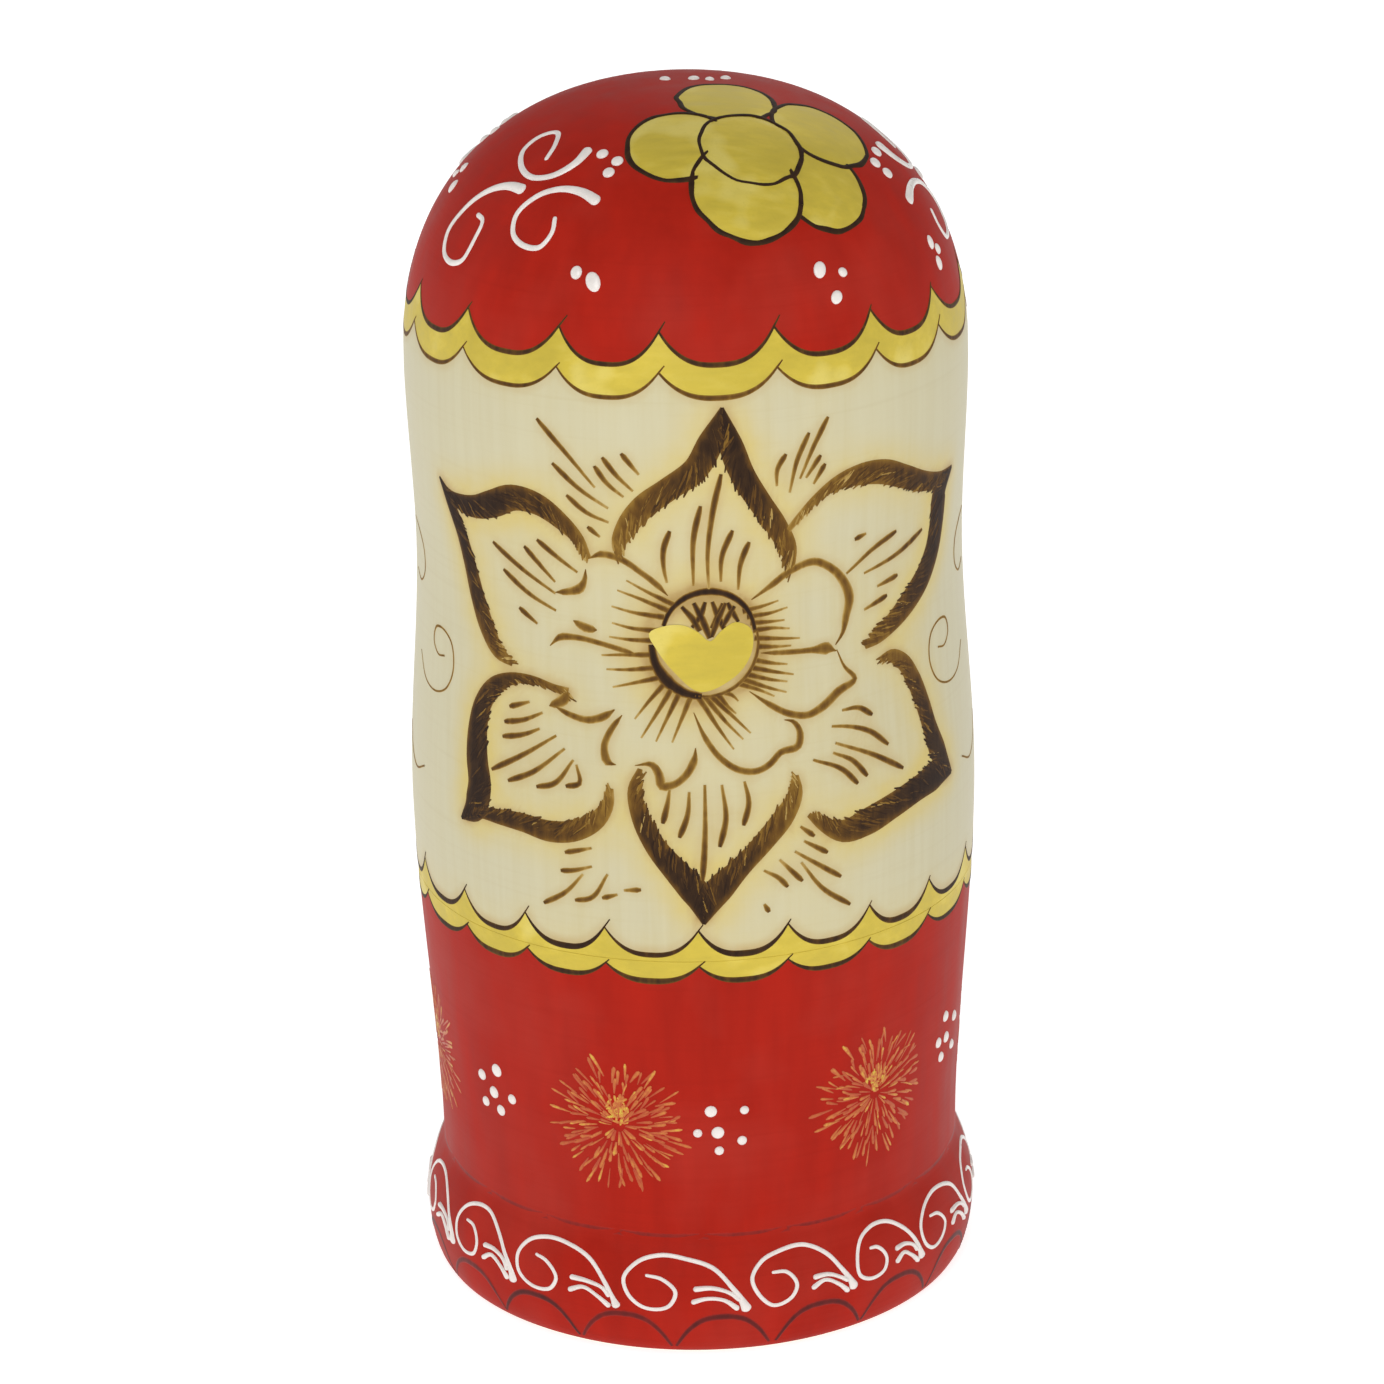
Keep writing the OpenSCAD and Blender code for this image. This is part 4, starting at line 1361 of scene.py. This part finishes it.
class NEST_OT_faces(bpy.types.Operator):
    """Paint a plain doll's face in the scarf on the front of each doll"""
    bl_idname = "nest.faces"
    bl_label = "Faces"
    # Height of the middle of the face, and half the width and height of its oval.
    FACE_Z = 150.5
    HALF_WIDTH, HALF_HEIGHT = 20.5, 22.5
    # Sizes of the gold edging and of the lines along it, as multiples of the oval, and the edging's width.
    EDGING, EDGING_LINES, EDGING_WIDTH = 1.06, (1.0, 1.125), 3.0
    # Middle and reach of the blush on the right cheek.
    CHEEK, CHEEK_REACH = (10.5, -5.5), (4.6, 4.2)
    # Right half of the face: x, z and width of the hair and of each line, and how dark the line is.
    HAIR = np.array([
        (-.9, 19.7, 5.4), (6.2, 18.2, 6.6), (12, 14.3, 7), (16.2, 8.4, 6), (18.6, 2, 3.8), (19.6, -4, .8)])
    LINES = (
        (((3.9, 8.0, .3), (7.6, 10.2, 1.1), (12.2, 8.6, .3)), 0.8),
        (((4.0, 2.6, .4), (5.7, 4.9, .9), (8.2, 5.7, 1.1), (10.7, 4.8, 1), (12.6, 2.9, .5), (13.6, 2.9, .2)),
         0.95),
        (((4.4, 2.2, .25), (8.2, 1.0, .35), (12, 2.4, .25)), 0.55),
        (((2.0, 6.6, .2), (1.5, 2, .35), (1.7, -2.4, .2)), 0.25),
        (((1.9, -4.2, .2), (1.3, -5.0, .6), (.1, -4.7, .35)), 0.6),
    )
    MOUTH = ((-4.6, -10.3, .2), (-2, -10.6, .4), (0, -10.4, .45), (2, -10.6, .4), (4.6, -10.3, .2))
    # Locks in each half of the hair.
    LOCKS = 26
    # Right eye: its outline, a point that sees all of it, and the middle of the iris.
    LID = np.array([
        (4.2, 2.7), (5.8, 4.7), (8.2, 5.4), (10.6, 4.6), (12.4, 2.8), (10.4, 1.5), (8.2, 1.1), (6, 1.5)])
    LID_MIDDLE, IRIS = np.array((8.2, 3.1)), np.array((8.2, 3.3))
    # Outline of each lip, and a point that sees all of it.
    LIPS = (
        (((-4.4, -10.3), (-2, -9), (0, -9.5), (2, -9), (4.4, -10.3), (2.2, -10.7), (0, -10.5), (-2.2, -10.7)),
         (0, -10.1)),
        (((-3.7, -10.6), (0, -10.7), (3.7, -10.6), (2.1, -12.4), (0, -12.9), (-2.1, -12.4)), (0, -11.5)),
    )

    def oval(self, size, step=5.0):
        """Outline of the face, a little narrower in its lower half."""
        a = np.radians(np.arange(0, 360, step))
        narrow = 1 - 0.08 * np.clip(-np.sin(a), 0, 1)
        wide, tall = self.HALF_WIDTH * size, self.HALF_HEIGHT * size
        return np.stack([wide * np.cos(a) * narrow, tall * np.sin(a)], 1)

    def ring(self, size):
        """The oval, closed by its first point."""
        oval = self.oval(size)
        return np.vstack([oval, oval[:1]])

    def blush(self, flat):
        """Tone of the skin: 1 in the middle of a cheek."""
        out = 0
        for side in (-1, 1):
            x = (flat[..., 0] - side * self.CHEEK[0]) / self.CHEEK_REACH[0]
            z = (flat[..., 1] - self.CHEEK[1]) / self.CHEEK_REACH[1]
            out = out + np.exp(-(x ** 2 + z ** 2))
        return np.clip(out, 0, 1)

    def skin(self, doll, chart, film):
        """The skin, and the gold edging about it."""
        face = Layer(doll)
        face.patch(chart, self.oval(1.0, 4), film, self.blush, rings=26, middle=(0, 0))
        face.piece(doll.top + "_face", doll.top, ("skin_paint",), "cream_wood")
        trim = Layer(doll)
        ring = self.ring(self.EDGING)
        line = np.column_stack([ring, np.full(len(ring), self.EDGING_WIDTH)])
        trim.strip(chart, line, film * 1.4, across=5)
        trim.piece(doll.top + "_face_edging", doll.top, ("brushed_gold",), "gold_paint")

    def lines(self, doll, chart, film):
        """The lines along the edging, the hair, and the lines of the eyes, the nose and the mouth."""
        ink, rng, hair = Layer(doll), doll.rng, self.HAIR
        for size in self.EDGING_LINES:
            ring = self.ring(size)
            width = rng.uniform(0.7, 1.0, len(ring))
            ink.stroke(chart, np.column_stack([ring, width]), film * 2.4, 0.85)
        for side in (-1, 1):
            flip = np.array([side, 1, 1])
            ink.stroke(chart, hair * flip, film * (1.5 + 0.1 * side), 0.62, across=7)
            for _ in range(int(self.LOCKS * doll.detail)):
                shift = rng.uniform(-0.42, 0.42) * hair[:, 2]
                width = np.full(len(hair), 0.3)
                width[[0, -1]] = 0.1
                lock = np.column_stack([hair[:, 0] + shift * 0.7, hair[:, 1] + shift * 0.8, width])
                lift = film * rng.uniform(1.9, 2.6)
                ink.stroke(chart, lock * flip, lift, rng.choice((0.35, 0.95)), step=1.6)
            for line, tone in self.LINES:
                ink.stroke(chart, np.array(line) * flip, film * 2.6, tone)
        ink.stroke(chart, self.MOUTH, film * 3, 0.6)
        ink.piece(doll.top + "_face_lines", doll.top, ("burnt_wood",), "burnt_line")

    def eyes(self, doll, chart, film):
        """The white, the iris and the pupil of each eye, and a glint in it."""
        eyes = Layer(doll)
        for side in (-1, 1):
            flip = np.array([side, 1])
            x, z = self.IRIS * flip
            lid = closed_curve(self.LID * flip, 0.6)
            eyes.patch(chart, lid, film * 1.5, rings=4, middle=self.LID_MIDDLE * flip)
            eyes.patch(chart, circle(x, z, 1.95, 0, 348, 12), film * 2.0, slot=1, rings=4)
            eyes.patch(chart, circle(x, z, 0.95, 0, 340, 20), film * 2.5, slot=2, rings=3)
            eyes.dot(chart, x + 0.55, 4.0, 0.42, film * 4)
        finishes = ("white_relief", "iris_paint", "pupil_paint")
        eyes.piece(doll.top + "_face_eyes", doll.top, finishes, "white_paint")

    def lips(self, doll, chart, film):
        """The upper and the lower lip."""
        lips = Layer(doll)
        for shape, middle in self.LIPS:
            lips.patch(chart, closed_curve(shape, 0.5), film * 1.8, rings=4, middle=middle)
        lips.piece(doll.top + "_face_lips", doll.top, ("lip_paint",), "red_lacquer")

    def execute(self, context):
        make_finishes()
        film = paint_film()
        for doll in dolls():
            chart = wall_chart(FRONT, self.FACE_Z)
            for step in (self.skin, self.lines, self.eyes, self.lips):
                step(doll, chart, film)
        return {"FINISHED"}


class NEST_OT_stage(bpy.types.Operator):
    """Set the pale floor, the soft lights and the camera"""
    bl_idname = "nest.stage"
    bl_label = "Stage"
    # How far the floor lies under the base, so that the two don't share a surface.
    FLOOR_DROP = 0.0002
    # What the lights look at, and their sizes and places, in metres.
    MIDDLE = (0, 0, 0.1)
    KEY_SIZE, FILL_SIZE = 1.0, 0.9
    KEY_PLACE = (-0.2, -1.3, 0.85)
    FILL_PLACES = {
        "right_light": (1.1, -0.5, 0.8), "back_light": (0.3, 1.2, 0.9), "left_light": (-1.2, 0.3, 0.7)}
    # Width of the camera's sensor, in millimetres.
    SENSOR_WIDTH = 36.0

    def soft_light(self, name, power, size, place):
        """A round soft light that looks at the middle of the doll."""
        light = bpy.data.lights.new(name, "AREA")
        light.energy, light.shape, light.size = power, "DISK", size
        lamp = bpy.data.objects.new(name, light)
        lamp.location = place
        lamp.rotation_euler = (Vector(self.MIDDLE) - Vector(place)).to_track_quat("-Z", "Y").to_euler()
        bpy.context.scene.collection.objects.link(lamp)

    def execute(self, context):
        stage = context.scene.nest_stage
        half = stage.floor_size / 2
        mesh = bpy.data.meshes.new("floor")
        corners = ((-half, -half), (half, -half), (half, half), (-half, half))
        mesh.from_pydata([(x, y, -self.FLOOR_DROP) for x, y in corners], [], [(0, 1, 2, 3)])
        f = Finish("pale_floor", 0.7, specular=0.2)
        cloud = f.grain((1, 1, 1), 9, 3)
        pale = tuple(stage.floor_colour)
        f.colour(f.ramp(cloud, (0.3, toned(pale, 0.99)), (0.7, pale)))
        f.shader.inputs["Emission Color"].default_value = (1, 1, 1, 1)
        f.shader.inputs["Emission Strength"].default_value = stage.floor_glow
        mesh.materials.append(f.material)
        floor = bpy.data.objects.new("floor", mesh)
        context.scene.collection.objects.link(floor)

        world = bpy.data.worlds.new("soft_room")
        world.use_nodes = True
        back = world.node_tree.nodes["Background"]
        back.inputs["Color"].default_value = (1, 1, 1, 1)
        back.inputs["Strength"].default_value = stage.world_strength
        context.scene.world = world
        self.soft_light("key_light", stage.key_power, self.KEY_SIZE, self.KEY_PLACE)
        for name, place in self.FILL_PLACES.items():
            self.soft_light(name, stage.fill_power, self.FILL_SIZE, place)

        data = bpy.data.cameras.new("photo_camera")
        data.lens, data.sensor_width = stage.camera_lens, self.SENSOR_WIDTH
        camera = bpy.data.objects.new("photo_camera", data)
        place, aim = Vector(stage.camera_place), Vector(stage.camera_aim)
        camera.location = place
        camera.rotation_mode = "QUATERNION"
        look = (aim - place).to_track_quat("-Z", "Y")
        camera.rotation_quaternion = look @ Quaternion((0, 0, 1), stage.camera_roll)
        context.scene.collection.objects.link(camera)
        context.scene.camera = camera
        context.scene.view_settings.view_transform = "Standard"
        return {"FINISHED"}


class NEST_PT_panel(bpy.types.Panel):
    """The steps of the nest, in order"""
    bl_idname = "NEST_PT_panel"
    bl_label = "Nesting Doll"
    bl_space_type = "VIEW_3D"
    bl_region_type = "UI"
    bl_category = "Nest"

    def draw(self, context):
        for operator in OPERATORS:
            self.layout.operator(operator.bl_idname)
        for group in (context.scene.nest_drawing, context.scene.nest_colours, context.scene.nest_stage):
            column = self.layout.column()
            for name in group.__annotations__:
                column.prop(group, name)


OPERATORS = (NEST_OT_turned_halves, NEST_OT_burnt_drawing, NEST_OT_gold_painting, NEST_OT_white_relief,
             NEST_OT_faces, NEST_OT_stage)
GROUPS = {"nest_drawing": NEST_PG_drawing, "nest_colours": NEST_PG_colours, "nest_stage": NEST_PG_stage}


def register():
    for item in (*GROUPS.values(), *OPERATORS, NEST_PT_panel):
        bpy.utils.register_class(item)
    for name, group in GROUPS.items():
        setattr(bpy.types.Scene, name, PointerProperty(type=group))


def unregister():
    for name in GROUPS:
        delattr(bpy.types.Scene, name)
    for item in (NEST_PT_panel, *reversed(OPERATORS), *GROUPS.values()):
        bpy.utils.unregister_class(item)


def main():
    register()
    bpy.ops.nest.turned_halves()
    bpy.ops.nest.burnt_drawing()
    bpy.ops.nest.gold_painting()
    bpy.ops.nest.white_relief()
    bpy.ops.nest.faces()
    bpy.ops.nest.stage()


if __name__ == "__main__":
    main()
